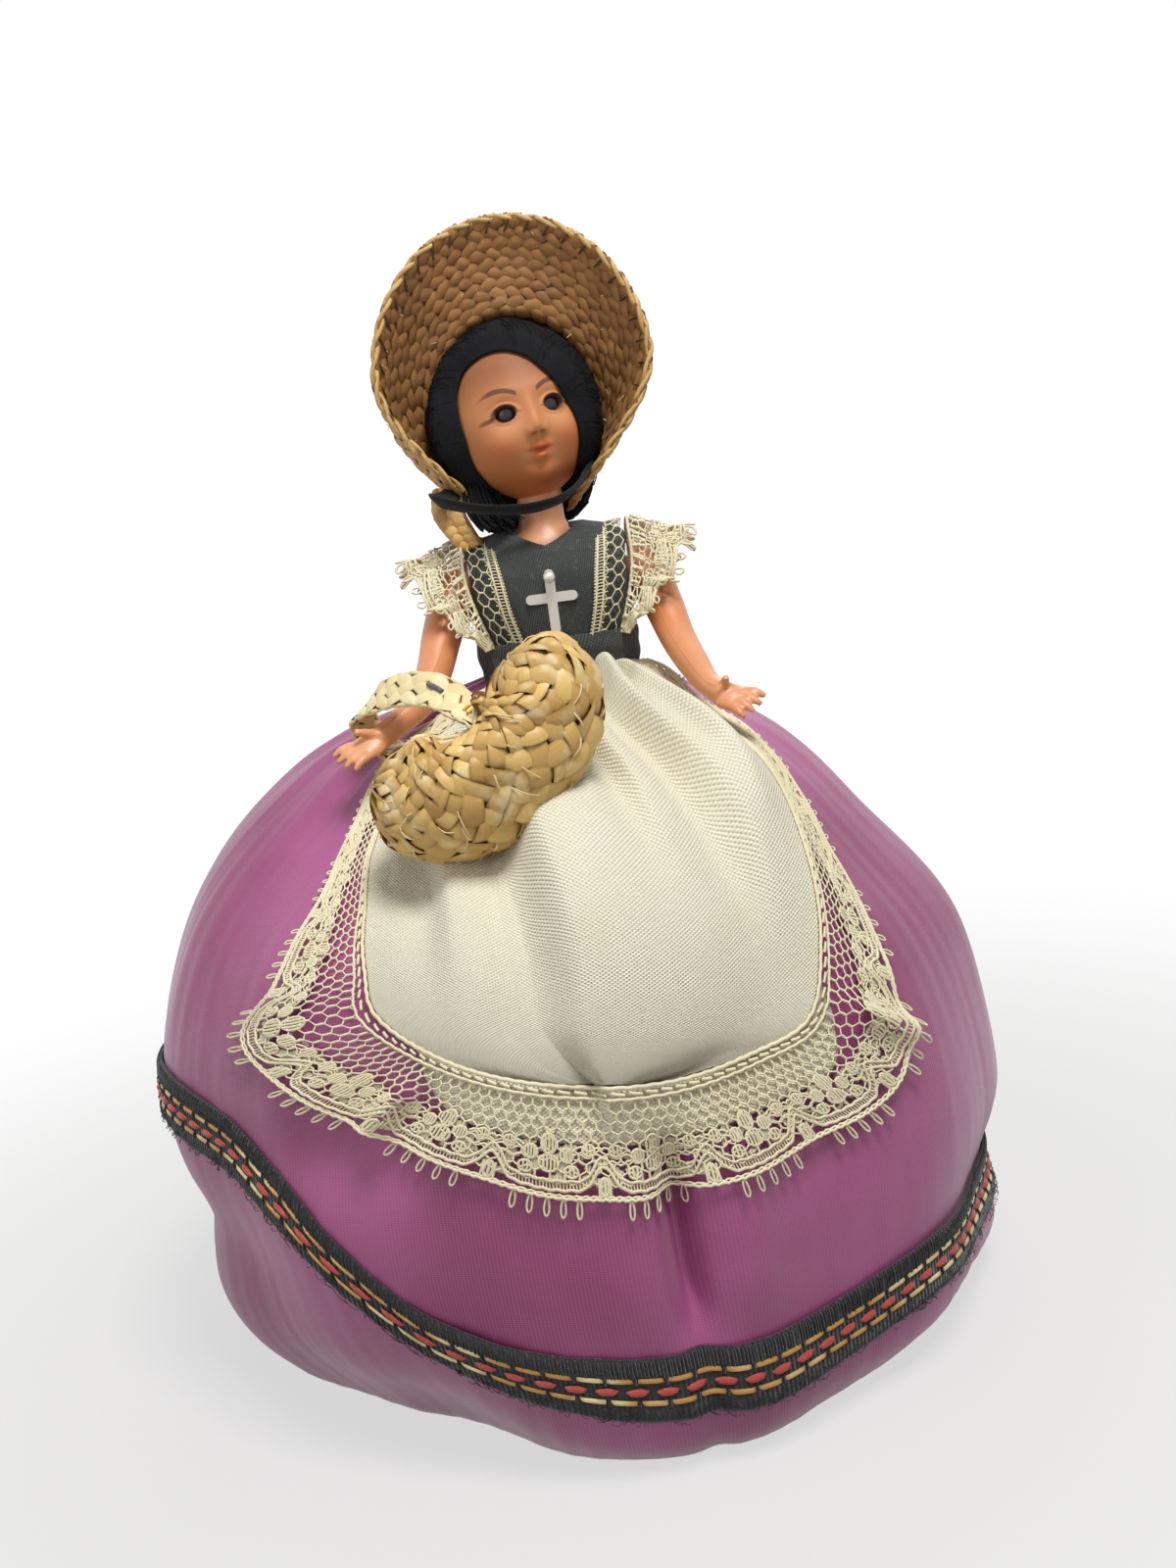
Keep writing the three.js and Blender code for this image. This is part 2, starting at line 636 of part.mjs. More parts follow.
function neckHook() {
  const eyeZ = SHOULDER_Z - HEAD_PIVOT.z;
  const barZ = 5;
  const eye = new THREE.TorusGeometry(HOOK_EYE, HOOK_WIRE, 6, 16).rotateY(Math.PI / 2);
  eye.rotateZ(HOOK_SET);
  return union(
    rod(at(0, 0, eyeZ + HOOK_EYE), at(0, 0, barZ), HOOK_WIRE, 10),
    rod(at(-5.4, 0, barZ), at(5.4, 0, barZ), HOOK_WIRE + 0.2, 8),
    solid(eye.translate(0, 0, eyeZ)),
  );
}

// Wig: a cap of hair round the face, falling to the shoulders behind
const FACE_WINDOW = { width: 9.4, top: 9.6, bottom: -15, middle: -2.6 };

function wig() {
  const outer = ball(1, {}, HEAD_SIZE.clone().addScalar(HAIR), 18);
  const fall = ovalLoft(
    [
      { z: -HAIR_DROP, rx: 9.6, ry: 4, y: 5.4 },
      { z: -13, rx: 11.8, ry: 5.4, y: 4.6 },
      { z: -6, rx: 13.3, ry: 8, y: 3 },
      { z: 0, rx: 13, ry: 9, y: 2 },
    ],
    0,
    18,
  );
  const skull = ball(1, {}, HEAD_SIZE.clone().addScalar(CLEARANCE + 0.3), 18);
  const window = new THREE.Shape();
  const { width, top, bottom, middle } = FACE_WINDOW;
  window.absellipse(0, middle, width, (top - bottom) / 2, 0, Math.PI * 2);
  const face = new THREE.ExtrudeGeometry(window, { depth: 30, bevelEnabled: false, curveSegments: 14 });
  face.rotateX(Math.PI / 2);
  face.translate(0, -2, 0);
  const throat = new THREE.CylinderGeometry(NECK_HOLE + 1, NECK_HOLE + 1, 30, 16).rotateX(Math.PI / 2);
  throat.translate(0, 0, -15);
  throat.applyQuaternion(headUpright);
  const under = throat.translate(0, 0, -HEAD_CENTRE_Z);
  const hatRoom = sheet(
    (u, v) => hatPoint(u, v).applyQuaternion(headUpright),
    STRAW + CLEARANCE * 2,
    32,
    8,
    { closed: true, pole: true },
  );
  const cut = union(outer, fall)
    .subtract(skull)
    .subtract(solid(face))
    .subtract(solid(under))
    .subtract(hatRoom);
  return largest(cut.subtract(box(at(-30, -30, -40), at(30, -1, -11))));
}

// Hat: a straw crown on the back of the head and a wide brim, drawn forward at the cheeks
const STRAW = 1.1;
const CROWN_SIZE = new THREE.Vector3(15.2, 16.4, 18); // inside, from the middle of the head
const CROWN_EDGE_Y = [0.8, 9.6]; // how far back the crown meets the brim, at the top and the bottom
const BRIM_MIDDLE = new THREE.Vector2(0.5, 7.4); // sideways and up from the middle of the head
const BRIM_RADIUS = new THREE.Vector2(24, 27);
const BRIM_PINCH = 0.2; // the ribbon draws the brim in by this share at the cheeks
const BRIM_REACH = [
  [0, -1], [45, -3.5], [85, -6.5], [125, -7], [150, 2], [180, 10],
]; // how far forward (-) or back the rim lies, by degrees from the top

function brimRim(angle) {
  const folded = Math.abs(THREE.MathUtils.radToDeg(Math.atan2(Math.sin(angle), Math.cos(angle))));
  const pinch = 1 - BRIM_PINCH * THREE.MathUtils.smoothstep(folded, 95, 150);
  return at(
    BRIM_MIDDLE.x + BRIM_RADIUS.x * pinch * Math.sin(angle),
    through(BRIM_REACH)(folded),
    BRIM_MIDDLE.y + BRIM_RADIUS.y * Math.cos(angle),
  );
}

// The crown from its back (0) to its edge (1), by angle from the top.
function crownPoint(angle, share) {
  const [top, bottom] = CROWN_EDGE_Y;
  const edge = THREE.MathUtils.lerp(bottom, top, (1 + Math.cos(angle)) / 2);
  const fall = share * Math.acos(edge / (CROWN_SIZE.y + STRAW / 2));
  return at(
    (CROWN_SIZE.x + STRAW / 2) * Math.sin(fall) * Math.sin(angle),
    (CROWN_SIZE.y + STRAW / 2) * Math.cos(fall),
    (CROWN_SIZE.z + STRAW / 2) * Math.sin(fall) * Math.cos(angle),
  );
}

const CROWN_SHARE = 0.5; // of the way from the crown's back to the rim

function hatPoint(u, v) {
  const angle = u * Math.PI * 2;
  if (v < CROWN_SHARE) return crownPoint(angle, v / CROWN_SHARE);
  const out = (v - CROWN_SHARE) / (1 - CROWN_SHARE);
  const p = crownPoint(angle, 1).lerp(brimRim(angle), out);
  p.y += Math.sin(out * Math.PI);
  return p;
}

function hat() {
  return sheet(hatPoint, STRAW, 32, 8, { closed: true, pole: true });
}

// Hat ribbon: a flat band under the chin, from one side of the brim to the other
const RIBBON_WIDTH = 2.6;
const RIBBON_THICKNESS = 0.5;
const RIBBON_LIFT = 0.55; // from the straw
const RIBBON_ANGLE = 132; // degrees round the brim from its top

function band(path, width, thickness, facing, steps, ends = [1, 1]) {
  const curve = new THREE.CatmullRomCurve3(path);
  const place = (u, v) => {
    const p = curve.getPoint(u);
    const across = curve.getTangent(u).cross(facing(p)).normalize();
    const w = width * THREE.MathUtils.lerp(ends[0], ends[1], u);
    return p.addScaledVector(across, (v - 0.5) * w);
  };
  return sheet(place, thickness, steps, 2);
}

// A place on the outside of the hat where the ribbon lies, by degrees from the top.
function besideHat(degrees, v) {
  const step = 0.01;
  const u = degrees / 360;
  const along = hatPoint(u + step, v).sub(hatPoint(u - step, v));
  const outwards = along.cross(hatPoint(u, v + step).sub(hatPoint(u, v - step))).normalize();
  const p = hatPoint(u, v);
  if (outwards.dot(at(p.x, 0, p.z)) < 0) outwards.negate();
  return p.addScaledVector(outwards, (STRAW + RIBBON_THICKNESS) / 2 + RIBBON_LIFT);
}

function hatRibbon() {
  const path = [
    besideHat(-RIBBON_ANGLE, 0.62), besideHat(-RIBBON_ANGLE, 0.78), besideHat(-RIBBON_ANGLE, 0.94),
    at(-15.6, -9.4, -12.6), at(-11.4, -13.2, -14.2), at(-6, -15.4, -15.6), at(0.6, -16, -16.3),
    at(8, -13.8, -15.6), at(13.8, -9.6, -13.6),
    besideHat(RIBBON_ANGLE, 0.94), besideHat(RIBBON_ANGLE, 0.78), besideHat(RIBBON_ANGLE, 0.62),
  ];
  const outward = (p) => at(p.x, p.y, p.z * 1.4);
  return band(path, RIBBON_WIDTH, RIBBON_THICKNESS, outward, 22);
}

// Arms: hollow-cast at the shoulder for a wire hook, bent at the elbow, with an open hand
const ARMS = {
  left: {
    side: 1,
    path: [
      at(14.6, 0, 132.8), at(17.2, -1, 130.6), at(19.2, -5.5, 125.4), at(20.8, -12, 119.2),
      at(22.6, -19, 114.8), at(24.4, -25, 111.6), at(26.6, -28.4, 110),
    ],
    palm: { from: at(25.6, -27, 110.6), to: at(29.2, -30, 108.8), flat: at(0.15, -0.72, 0.68) },
    thumb: [at(26.4, -28.2, 111.4), at(26.8, -30, 113.2)],
  },
  right: {
    side: -1,
    path: [
      at(-14.6, 0, 132.8), at(-17.4, -1, 130.6), at(-20, -6, 124.8), at(-22.2, -13, 118.2),
      at(-25.2, -19.2, 114), at(-29.4, -24.4, 111.2), at(-32, -26.6, 109.8),
    ],
    palm: { from: at(-31.2, -26, 110.4), to: at(-35.6, -29, 108.2), flat: at(-0.2, -0.6, 0.76) },
    thumb: [at(-32.6, -27.6, 111), at(-35, -29.4, 112)],
  },
};
const ARM_RADII = [3.9, 3.9, 3.6, 3.1, 2.7, 2.1, 2.2];
const FINGER_RADIUS = 0.78;
const FINGER_LENGTH = 4.4;
const HOOK_BORE = 1.5;
const HOOK_DEPTH = 3.4;

function arm({ side, path, palm, thumb }) {
  const shoulder = rod(at(side * SHOULDER_X, 0, SHOULDER_Z), at(side * 17.4, 0, SHOULDER_Z), 3.9, 16);
  const reach = palm.to.clone().sub(palm.from);
  const length = reach.length();
  const forward = reach.clone().normalize();
  const across = palm.flat.clone().cross(forward).normalize();
  const middle = palm.from.clone().lerp(palm.to, 0.45);
  const hand = new THREE.SphereGeometry(1, 10, 7).scale(length * 0.62, 3.1, 1.35);
  const frame = new THREE.Matrix4().makeBasis(
    forward,
    across,
    forward.clone().cross(across),
  );
  hand.applyMatrix4(frame).translate(middle.x, middle.y, middle.z);
  const fingers = [-1.5, -0.5, 0.5, 1.5].map((n) => {
    const root = palm.to.clone().addScaledVector(across, n * 1.45).addScaledVector(forward, -1.2);
    const way = forward.clone().addScaledVector(across, n * 0.12).normalize();
    const tip = root.clone().addScaledVector(way, FINGER_LENGTH - Math.abs(n) * 0.5);
    const knuckle = root.clone().lerp(tip, 0.5).addScaledVector(palm.flat, 0.25);
    return limb([root, knuckle, tip], [FINGER_RADIUS, FINGER_RADIUS, 0.5], 6, 1);
  });
  const thumbPath = [palm.from.clone().lerp(palm.to, 0.3), thumb[0], thumb[1]];
  const bore = rod(
    at(side * (SHOULDER_X - 1), 0, SHOULDER_Z),
    at(side * (SHOULDER_X + HOOK_DEPTH), 0, SHOULDER_Z),
    HOOK_BORE,
    14,
  );
  return union(
    shoulder,
    limb(path, ARM_RADII),
    solid(hand),
    ...fingers,
    limb(thumbPath, [1.1, 0.95, 0.6], 6, 2),
  )
    .subtract(bore)
    .subtract(box(
      at(side > 0 ? 0 : -SHOULDER_X, -20, 110),
      at(side > 0 ? SHOULDER_X : 0, 20, 150),
    ));
}

// Arm hook: a wire staple set in the arm's bore, with an eye inside the body for the elastic
const ARM_HOOK_EYE_X = 9.4;

function armHook(side) {
  const eye = new THREE.TorusGeometry(1.5, 0.4, 6, 12).rotateX(Math.PI / 2);
  eye.translate(side * ARM_HOOK_EYE_X, 0, SHOULDER_Z);
  return union(
    rod(
      at(side * (ARM_HOOK_EYE_X + 1.4), 0, SHOULDER_Z),
      at(side * (SHOULDER_X + HOOK_DEPTH - CLEARANCE), 0, SHOULDER_Z),
      HOOK_BORE - CLEARANCE,
      12,
    ),
    solid(eye),
  );
}

// Arm elastic: a cord across the chest through both hook eyes and the neck hook's eye
function armElastic() {
  const reach = ARM_HOOK_EYE_X - 1.5 - 0.4 - CLEARANCE;
  return rod(at(-reach, 0, SHOULDER_Z), at(reach, 0, SHOULDER_Z), ELASTIC_RADIUS, 12);
}

// Lace bretelles: a strap over each shoulder and the frill gathered to its outer edge.
// Edges run from the front of the waist over the shoulder to the back, for the doll's left.
const LACE_CLOTH = 0.5;
const STRAP_INNER = [
  at(5.2, -11.9, 122.4), at(6.8, -12.1, 127), at(8.2, -10.8, 132.6), at(9.2, -7, 137.6),
  at(9.4, -0.5, 139.9), at(9.2, 5.8, 137.9), at(8.2, 10, 132.6), at(6.8, 11, 127), at(5.4, 11.2, 122.4),
];
const STRAP_OUTER = [
  at(11.6, -8, 122.6), at(13.4, -7.4, 127.2), at(14.8, -6.6, 133), at(15, -5, 138.2),
  at(15.2, -0.5, 140.4), at(15, 4.6, 138.4), at(14.8, 6, 133), at(13.4, 6.6, 127.2), at(11.8, 7.6, 122.6),
];
const FRILL_EDGE = [
  at(13.4, -12.6, 121.8), at(18, -13, 126), at(22.5, -11.5, 130), at(26, -6, 134.6),
  at(27, 0, 136.6), at(25.5, 6, 134.6), at(21.5, 9.5, 129.5), at(16.5, 10.6, 125), at(13.6, 10.4, 122),
];
const FRILL_WAVE = 0.9;
const FRILL_WAVES = 7;

function between(near, far, side, gap, wave) {
  const a = new THREE.CatmullRomCurve3(near);
  const b = new THREE.CatmullRomCurve3(far);
  return (u, v) => {
    const from = a.getPoint(u);
    const to = b.getPoint(u);
    const away = to.clone().sub(from);
    from.addScaledVector(away, gap / away.length());
    const p = from.lerp(to, v);
    p.z += wave * v * Math.sin(u * Math.PI * 2 * FRILL_WAVES);
    p.x *= side;
    return p;
  };
}

function laceStrap(side) {
  return sheet(between(STRAP_INNER, STRAP_OUTER, side, 0, 0), LACE_CLOTH, 16, 2);
}

function laceFrill(side) {
  const wavy = between(STRAP_OUTER, FRILL_EDGE, side, CLEARANCE + 0.1, FRILL_WAVE);
  return sheet(wavy, LACE_CLOTH, 38, 2);
}

// Cross and its pin
const CROSS_TOP = 1.3; // above the pin
const CROSS_ARM_DROP = 3.6; // below the pin
const CROSS_Y = -12.8;

function cross() {
  const half = CROSS_BAR / 2;
  const round = (shape, x, z, from) => shape.absarc(x, z, half, from, from - Math.PI, true);
  const upright = new THREE.Shape();
  round(upright, 0, CROSS_TOP - half, Math.PI);
  round(upright, 0, CROSS_TOP - CROSS_LENGTH + half, 0);
  const beam = new THREE.Shape();
  round(beam, CROSS_SPAN / 2 - half, -CROSS_ARM_DROP, Math.PI / 2);
  round(beam, half - CROSS_SPAN / 2, -CROSS_ARM_DROP, -Math.PI / 2);
  const options = { depth: CROSS_THICKNESS, bevelEnabled: false, curveSegments: 6 };
  const bars = [upright, beam].map((shape) => {
    const geometry = new THREE.ExtrudeGeometry(shape, options).rotateX(Math.PI / 2);
    return solid(geometry.translate(0, CROSS_Y + CROSS_THICKNESS / 2, PIN_Z));
  });
  const hole = rod(at(0, CROSS_Y - 2, PIN_Z), at(0, CROSS_Y + 2, PIN_Z), PIN_SHAFT + 0.12, 10);
  return union(...bars).subtract(hole);
}

function crossPin() {
  const headY = CROSS_Y - CROSS_THICKNESS / 2 - 0.25 - PIN_HEAD;
  const tipY = -0.5 - TORSO[6].ry - CLEARANCE;
  return union(
    ball(PIN_HEAD, at(0, headY, PIN_Z), undefined, 12),
    rod(at(0, headY, PIN_Z), at(0, tipY, PIN_Z), PIN_SHAFT, 12),
  );
}

// Basket: a curved pouch of plaited straw with its mouth in the hollow side, and a flat handle
const BASKET_LINE = [
  at(-30.4, -46.4, 105), at(-25, -47.5, 103.2), at(-18.5, -48, 103.4), at(-11.6, -48, 106.6),
  at(-6, -47.5, 111.2), at(-3.4, -47, 116.4), at(-5, -46.4, 120.2),
];
const BASKET_SWELL = [0.42, 0.84, 1, 1, 0.98, 0.86, 0.5];
const MOUTH = { middle: at(-18.5, -47.5, 112), half: at(6, 3.2, 10) };
const HANDLE_PATH = [
  at(-15.4, -40.6, 114.4), at(-20, -35.5, 117.4), at(-26.5, -30, 118), at(-31.4, -25.2, 116.4),
  at(-34.4, -20.6, 113), at(-32.8, -20.6, 109.2), at(-28.8, -25.2, 107.1), at(-26, -32, 106.4),
  at(-24.5, -37.8, 106),
];

function pouch(shrink) {
  const curve = new THREE.CatmullRomCurve3(BASKET_LINE);
  const steps = 14;
  const sides = 18;
  const rings = [];
  for (let k = 0; k <= steps; k++) {
    const t = k / steps;
    const middle = curve.getPoint(t);
    const across = curve.getTangent(t).cross(at(0, 1, 0)).normalize();
    const place = t * (BASKET_SWELL.length - 1);
    const i = Math.min(Math.floor(place), BASKET_SWELL.length - 2);
    const swell = THREE.MathUtils.lerp(BASKET_SWELL[i], BASKET_SWELL[i + 1], place - i);
    const high = swell * BASKET_HALF_HEIGHT - shrink;
    const deep = swell * BASKET_HALF_DEPTH - shrink;
    const ring = [];
    for (let n = 0; n < sides; n++) {
      const angle = (n / sides) * Math.PI * 2;
      const p = middle.clone().addScaledVector(across, high * Math.cos(angle));
      ring.push(p.add(at(0, deep * Math.sin(angle), 0)));
    }
    rings.push(ring);
  }
  return loft(shrink > 0 ? rings.slice(1, -1) : rings);
}

function basket() {
  const slot = new THREE.CylinderGeometry(1, 1, 1, 24).rotateX(Math.PI / 2);
  slot.scale(MOUTH.half.x, MOUTH.half.y, MOUTH.half.z);
  slot.translate(MOUTH.middle.x, MOUTH.middle.y, MOUTH.middle.z);
  return largest(pouch(0).subtract(pouch(BASKET_WALL)).subtract(solid(slot)));
}

function basketHandle() {
  const wrist = at(-29.5, -24.5, 111.2);
  const outward = (p) => p.clone().sub(wrist);
  return band(HANDLE_PATH, HANDLE_WIDTH, HANDLE_THICKNESS, outward, 22);
}

// Materials
const plastic = material(0xd9996f, 0.42);
const facePlastic = material(0xc07d55, 0.38);
const lead = material(0x6f7275, 0.6, 0.8);
const steel = material(0xb9bcc0, 0.3, 1);
const rubber = material(0xd8cdb8, 0.8);
const eyeGlaze = material(0x2a1a20, 0.15);
const hair = material(0x0b0c11, 0.7);
const straw = material(0xa9773c, 0.75);
const palmStraw = material(0xdcbf80, 0.6);
const blackRibbon = material(0x14171a, 0.65);
const twill = material(0x39403f, 0.85);
const satin = material(0x93427f, 0.35);
const stiffNet = material(0xe6e2da, 0.9);
const ivoryCotton = material(0xe9e4cb, 0.85);
const ivoryLace = material(0xe2d6b4, 0.85);
const braidWool = material(0x26221f, 0.8);
const silver = material(0xcfc9c0, 0.3, 1);
const shoePlastic = material(0x161616, 0.4);

// Assembly
const doll = new THREE.Group();
const body = new THREE.Group();
body.position.x = BODY_X;
doll.add(body);

const head = new THREE.Group();
head.position.copy(HEAD_PIVOT);
head.quaternion.copy(headPose);
body.add(head);
const skull = new THREE.Group();
skull.position.z = HEAD_CENTRE_Z;
head.add(skull);

// The hat and its ribbon are shaped square to the doll, round the tilted head's middle
const hatGroup = new THREE.Group();
hatGroup.position.set(0, 0, HEAD_CENTRE_Z).applyQuaternion(headPose).add(HEAD_PIVOT);
body.add(hatGroup);

const hookGroup = new THREE.Group();
hookGroup.position.copy(HEAD_PIVOT);
body.add(hookGroup);

body.add(
  piece("body_and_legs", bodyAndLegs(), plastic),
  piece("shoe_left", shoe(1), shoePlastic),
  piece("shoe_right", shoe(-1), shoePlastic),
  piece("arm_left", arm(ARMS.left), plastic),
  piece("arm_right", arm(ARMS.right), plastic),
  piece("arm_hook_left", armHook(1), steel),
  piece("arm_hook_right", armHook(-1), steel),
  piece("arm_elastic", armElastic(), rubber),
  piece("bodice", bodice(), twill),
  piece("waistband", waistband(), twill),
  piece("lace_strap_left", laceStrap(1), ivoryLace),
  piece("lace_strap_right", laceStrap(-1), ivoryLace),
  piece("lace_frill_left", laceFrill(1), ivoryLace),
  piece("lace_frill_right", laceFrill(-1), ivoryLace),
  piece("cross", cross(), silver),
  piece("cross_pin", crossPin(), silver),
  piece("basket", basket(), palmStraw),
  piece("basket_handle", basketHandle(), palmStraw),
);
skull.add(
  piece("head_shell", headShell(), facePlastic),
  piece("eye_left", ball(EYE_RADIUS, eyeCentre(1)), eyeGlaze),
  piece("eye_right", ball(EYE_RADIUS, eyeCentre(-1)), eyeGlaze),
  piece("eye_rocker", eyeRocker(), lead),
  piece("wig", wig(), hair),
);
hatGroup.add(piece("hat", hat(), straw), piece("hat_ribbon", hatRibbon(), blackRibbon));
hookGroup.add(piece("neck_hook", neckHook(), steel));
doll.add(
  piece("petticoat", petticoat(), stiffNet),
  piece("skirt", skirt(), satin),
  piece("skirt_braid", braid(), braidWool),
  piece("apron", apron(), ivoryCotton),
  piece("apron_lace", apronLace(), ivoryLace),
);

export default doll;
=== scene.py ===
"""Looks of a costume doll in regional dress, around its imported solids.

Metres, +Z up, the doll faces -Y. Sizes are written in millimetres, as MM multiples.
"""

import math
import random

import bmesh
import bpy
from mathutils import Euler, Matrix, Vector, noise


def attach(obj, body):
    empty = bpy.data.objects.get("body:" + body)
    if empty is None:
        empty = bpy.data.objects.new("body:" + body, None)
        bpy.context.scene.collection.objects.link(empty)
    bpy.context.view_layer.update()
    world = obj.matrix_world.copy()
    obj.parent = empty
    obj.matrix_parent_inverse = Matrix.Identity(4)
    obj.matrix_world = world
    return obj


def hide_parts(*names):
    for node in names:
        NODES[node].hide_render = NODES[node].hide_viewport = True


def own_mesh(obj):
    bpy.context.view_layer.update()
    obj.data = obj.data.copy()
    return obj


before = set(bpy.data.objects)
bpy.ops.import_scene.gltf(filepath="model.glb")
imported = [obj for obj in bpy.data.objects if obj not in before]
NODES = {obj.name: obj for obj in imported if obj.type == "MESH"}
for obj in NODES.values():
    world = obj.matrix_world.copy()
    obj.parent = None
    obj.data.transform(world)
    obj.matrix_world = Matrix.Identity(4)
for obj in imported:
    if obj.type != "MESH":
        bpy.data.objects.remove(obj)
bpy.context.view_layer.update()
MM = 0.001


# Shader building


class Link:
    """A node's output that adds Math nodes through ordinary operators."""

    def __init__(self, finish, socket):
        self.finish = finish
        self.socket = socket

    def __add__(self, other):
        return self.finish.maths("ADD", self, other)

    def __sub__(self, other):
        return self.finish.maths("SUBTRACT", self, other)

    def __rsub__(self, other):
        return self.finish.maths("SUBTRACT", other, self)

    def __mul__(self, other):
        return self.finish.maths("MULTIPLY", self, other)

    def __pow__(self, other):
        return self.finish.maths("POWER", self, other)

    __radd__ = __add__
    __rmul__ = __mul__


class Finish:
    """A material, built round one Principled shader."""

    def __init__(self, name, base=(0.5, 0.5, 0.5, 1), roughness=0.5, **sockets):
        self.material = bpy.data.materials.new(name)
        self.material.use_nodes = True
        self.tree = self.material.node_tree
        self.shader = self.tree.nodes["Principled BSDF"]
        self.set("Base Color", base)
        self.set("Roughness", roughness)
        for socket, value in sockets.items():
            self.set(socket.replace("_", " "), value)

    def set(self, socket, value):
        self.feed(self.shader.inputs[socket], value)

    def feed(self, socket, value):
        if isinstance(value, Link):
            self.tree.links.new(value.socket, socket)
        else:
            socket.default_value = value

    def node(self, kind, settings=None, inputs=None, output=0):
        made = self.tree.nodes.new("ShaderNode" + kind)
        for key, value in (settings or {}).items():
            setattr(made, key, value)
        for key, value in (inputs or {}).items():
            self.feed(made.inputs[key], value)
        return Link(self, made.outputs[output])

    def maths(self, operation, first, second=0.0):
        return self.node("Math", {"operation": operation}, {0: first, 1: second})

    def place(self, scale=(1, 1, 1), turn=(0, 0, 0), cloth=False):
        """Object coordinates, or a sheet's own millimetres, scaled and turned."""
        if cloth:
            source = self.node("UVMap", {"uv_map": "cloth"})
        else:
            source = self.node("TexCoord", output="Object")
        return self.node("Mapping", None, {"Vector": source, "Scale": scale, "Rotation": turn})

    def noise(self, place, scale, detail=2, roughness=0.5):
        inputs = {"Vector": place, "Scale": scale, "Detail": detail, "Roughness": roughness}
        return self.node("TexNoise", None, inputs)

    def mottle(self, dark, light, scale, detail=2):
        """Lets the colour wander between two, and returns the noise that it follows."""
        cloud = self.noise(self.place(), scale, detail)
        self.set("Base Color", self.mix(dark, light, cloud))
        return cloud

    def level(self, value, low, high):
        """0 below low, 1 above high, smooth between."""
        settings = {"interpolation_type": "SMOOTHSTEP"}
        return self.node("MapRange", settings, {"Value": value, "From Min": low, "From Max": high})

    def mix(self, first, second, share):
        settings = {"data_type": "RGBA"}
        return self.node("Mix", settings, {0: share, 6: first, 7: second}, 2)

    def axis(self, place, index):
        return self.node("SeparateXYZ", None, {0: place}, index)

    def ripple(self, place, index, pitch, shift=0.0):
        """A sine between 0 and 1 along one axis of place, of this pitch."""
        angle = self.axis(place, index) * (2 * math.pi / pitch) + shift
        return self.maths("SINE", angle) * 0.5 + 0.5

    def bump(self, height, strength, distance):
        inputs = {"Height": height, "Strength": strength, "Distance": distance}
        self.set("Normal", self.node("Bump", None, inputs))
        return self.material


def colour(red, green, blue):
    """A colour as it shows, from 0 to 255, in the linear values that shaders take."""

    def linear(value):
        value /= 255
        return value / 12.92 if value <= 0.04045 else ((value + 0.055) / 1.055) ** 2.4

    return (linear(red), linear(green), linear(blue), 1)


# Curves and pieces


def lerp(a, b, share):
    return a + (b - a) * share


def clamp(value, low=0.0, high=1.0):
    return max(low, min(high, value))


def smoothstep(value, low, high):
    share = clamp((value - low) / (high - low))
    return share * share * (3 - 2 * share)


def hump(value, middle, width):
    """1 in the middle, falling smoothly to 0 a few widths away."""
    return math.exp(-(((value - middle) / width) ** 2))


def catmull(points, share, knot=0.5):
    """A smooth curve through points at share 0 to 1; knot 0.5 is centripetal, 1 chordal."""
    last = len(points) - 1
    place = clamp(share) * last
    i = min(int(place), last - 1)
    t = place - i
    p1, p2 = points[i], points[i + 1]
    p0 = points[i - 1] if i > 0 else p1 * 2 - p2
    p3 = points[i + 2] if i + 2 <= last else p2 * 2 - p1
    d0, d1, d2 = [max((b - a).length ** knot, 1e-9) for a, b in ((p0, p1), (p1, p2), (p2, p3))]
    m1 = ((p1 - p0) / d0 - (p2 - p0) / (d0 + d1) + (p2 - p1) / d1) * d1
    m2 = ((p2 - p1) / d1 - (p3 - p1) / (d1 + d2) + (p3 - p2) / d2) * d1
    a, b = t * t * t, t * t
    return p1 * (2 * a - 3 * b + 1) + m1 * (a - 2 * b + t) + p2 * (3 * b - 2 * a) + m2 * (a - b)


def tangent_of(points, share, step):
    """The way that a smooth curve runs at share."""
    return (catmull(points, min(share + step, 1)) - catmull(points, max(share - step, 0))).normalized()


def even_catmull(points, t):
    """The evenly knotted kind, whose ends have no extra point; points are tuples of numbers."""
    last = len(points) - 1
    place = clamp(t) * last
    i = min(int(place), last - 1)
    t = place - i
    p0, p1, p2, p3 = (points[clamp(k, 0, last)] for k in (i - 1, i, i + 1, i + 2))
    made = []
    for a, b, c, d in zip(p0, p1, p2, p3):
        v0, v1 = (c - a) / 2, (d - b) / 2
        made.append((2 * b - 2 * c + v0 + v1) * t**3 + (3 * c - 3 * b - 2 * v0 - v1) * t**2 + v0 * t + b)
    return made


def through(pairs, value):
    """A smooth line through pairs of (input, output)."""
    k = 0
    while k < len(pairs) - 2 and value > pairs[k + 1][0]:
        k += 1
    inside = clamp((value - pairs[k][0]) / (pairs[k + 1][0] - pairs[k][0]))
    return even_catmull(pairs, (k + inside) / (len(pairs) - 1))[1]


def piece(name, bm, finish, body, replaces=()):
    """A bmesh as a finished piece that rides on a body."""
    mesh = bpy.data.meshes.new(name)
    bm.to_mesh(mesh)
    bm.free()
    mesh.shade_smooth()
    made = bpy.data.objects.new(name, mesh)
    return dress(made, finish, body, replaces)


def dress(made, finish, body, replaces=()):
    bpy.context.scene.collection.objects.link(made)
    made.data.materials.append(finish)
    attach(made, body)
    if replaces:
        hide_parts(*replaces)
    return made


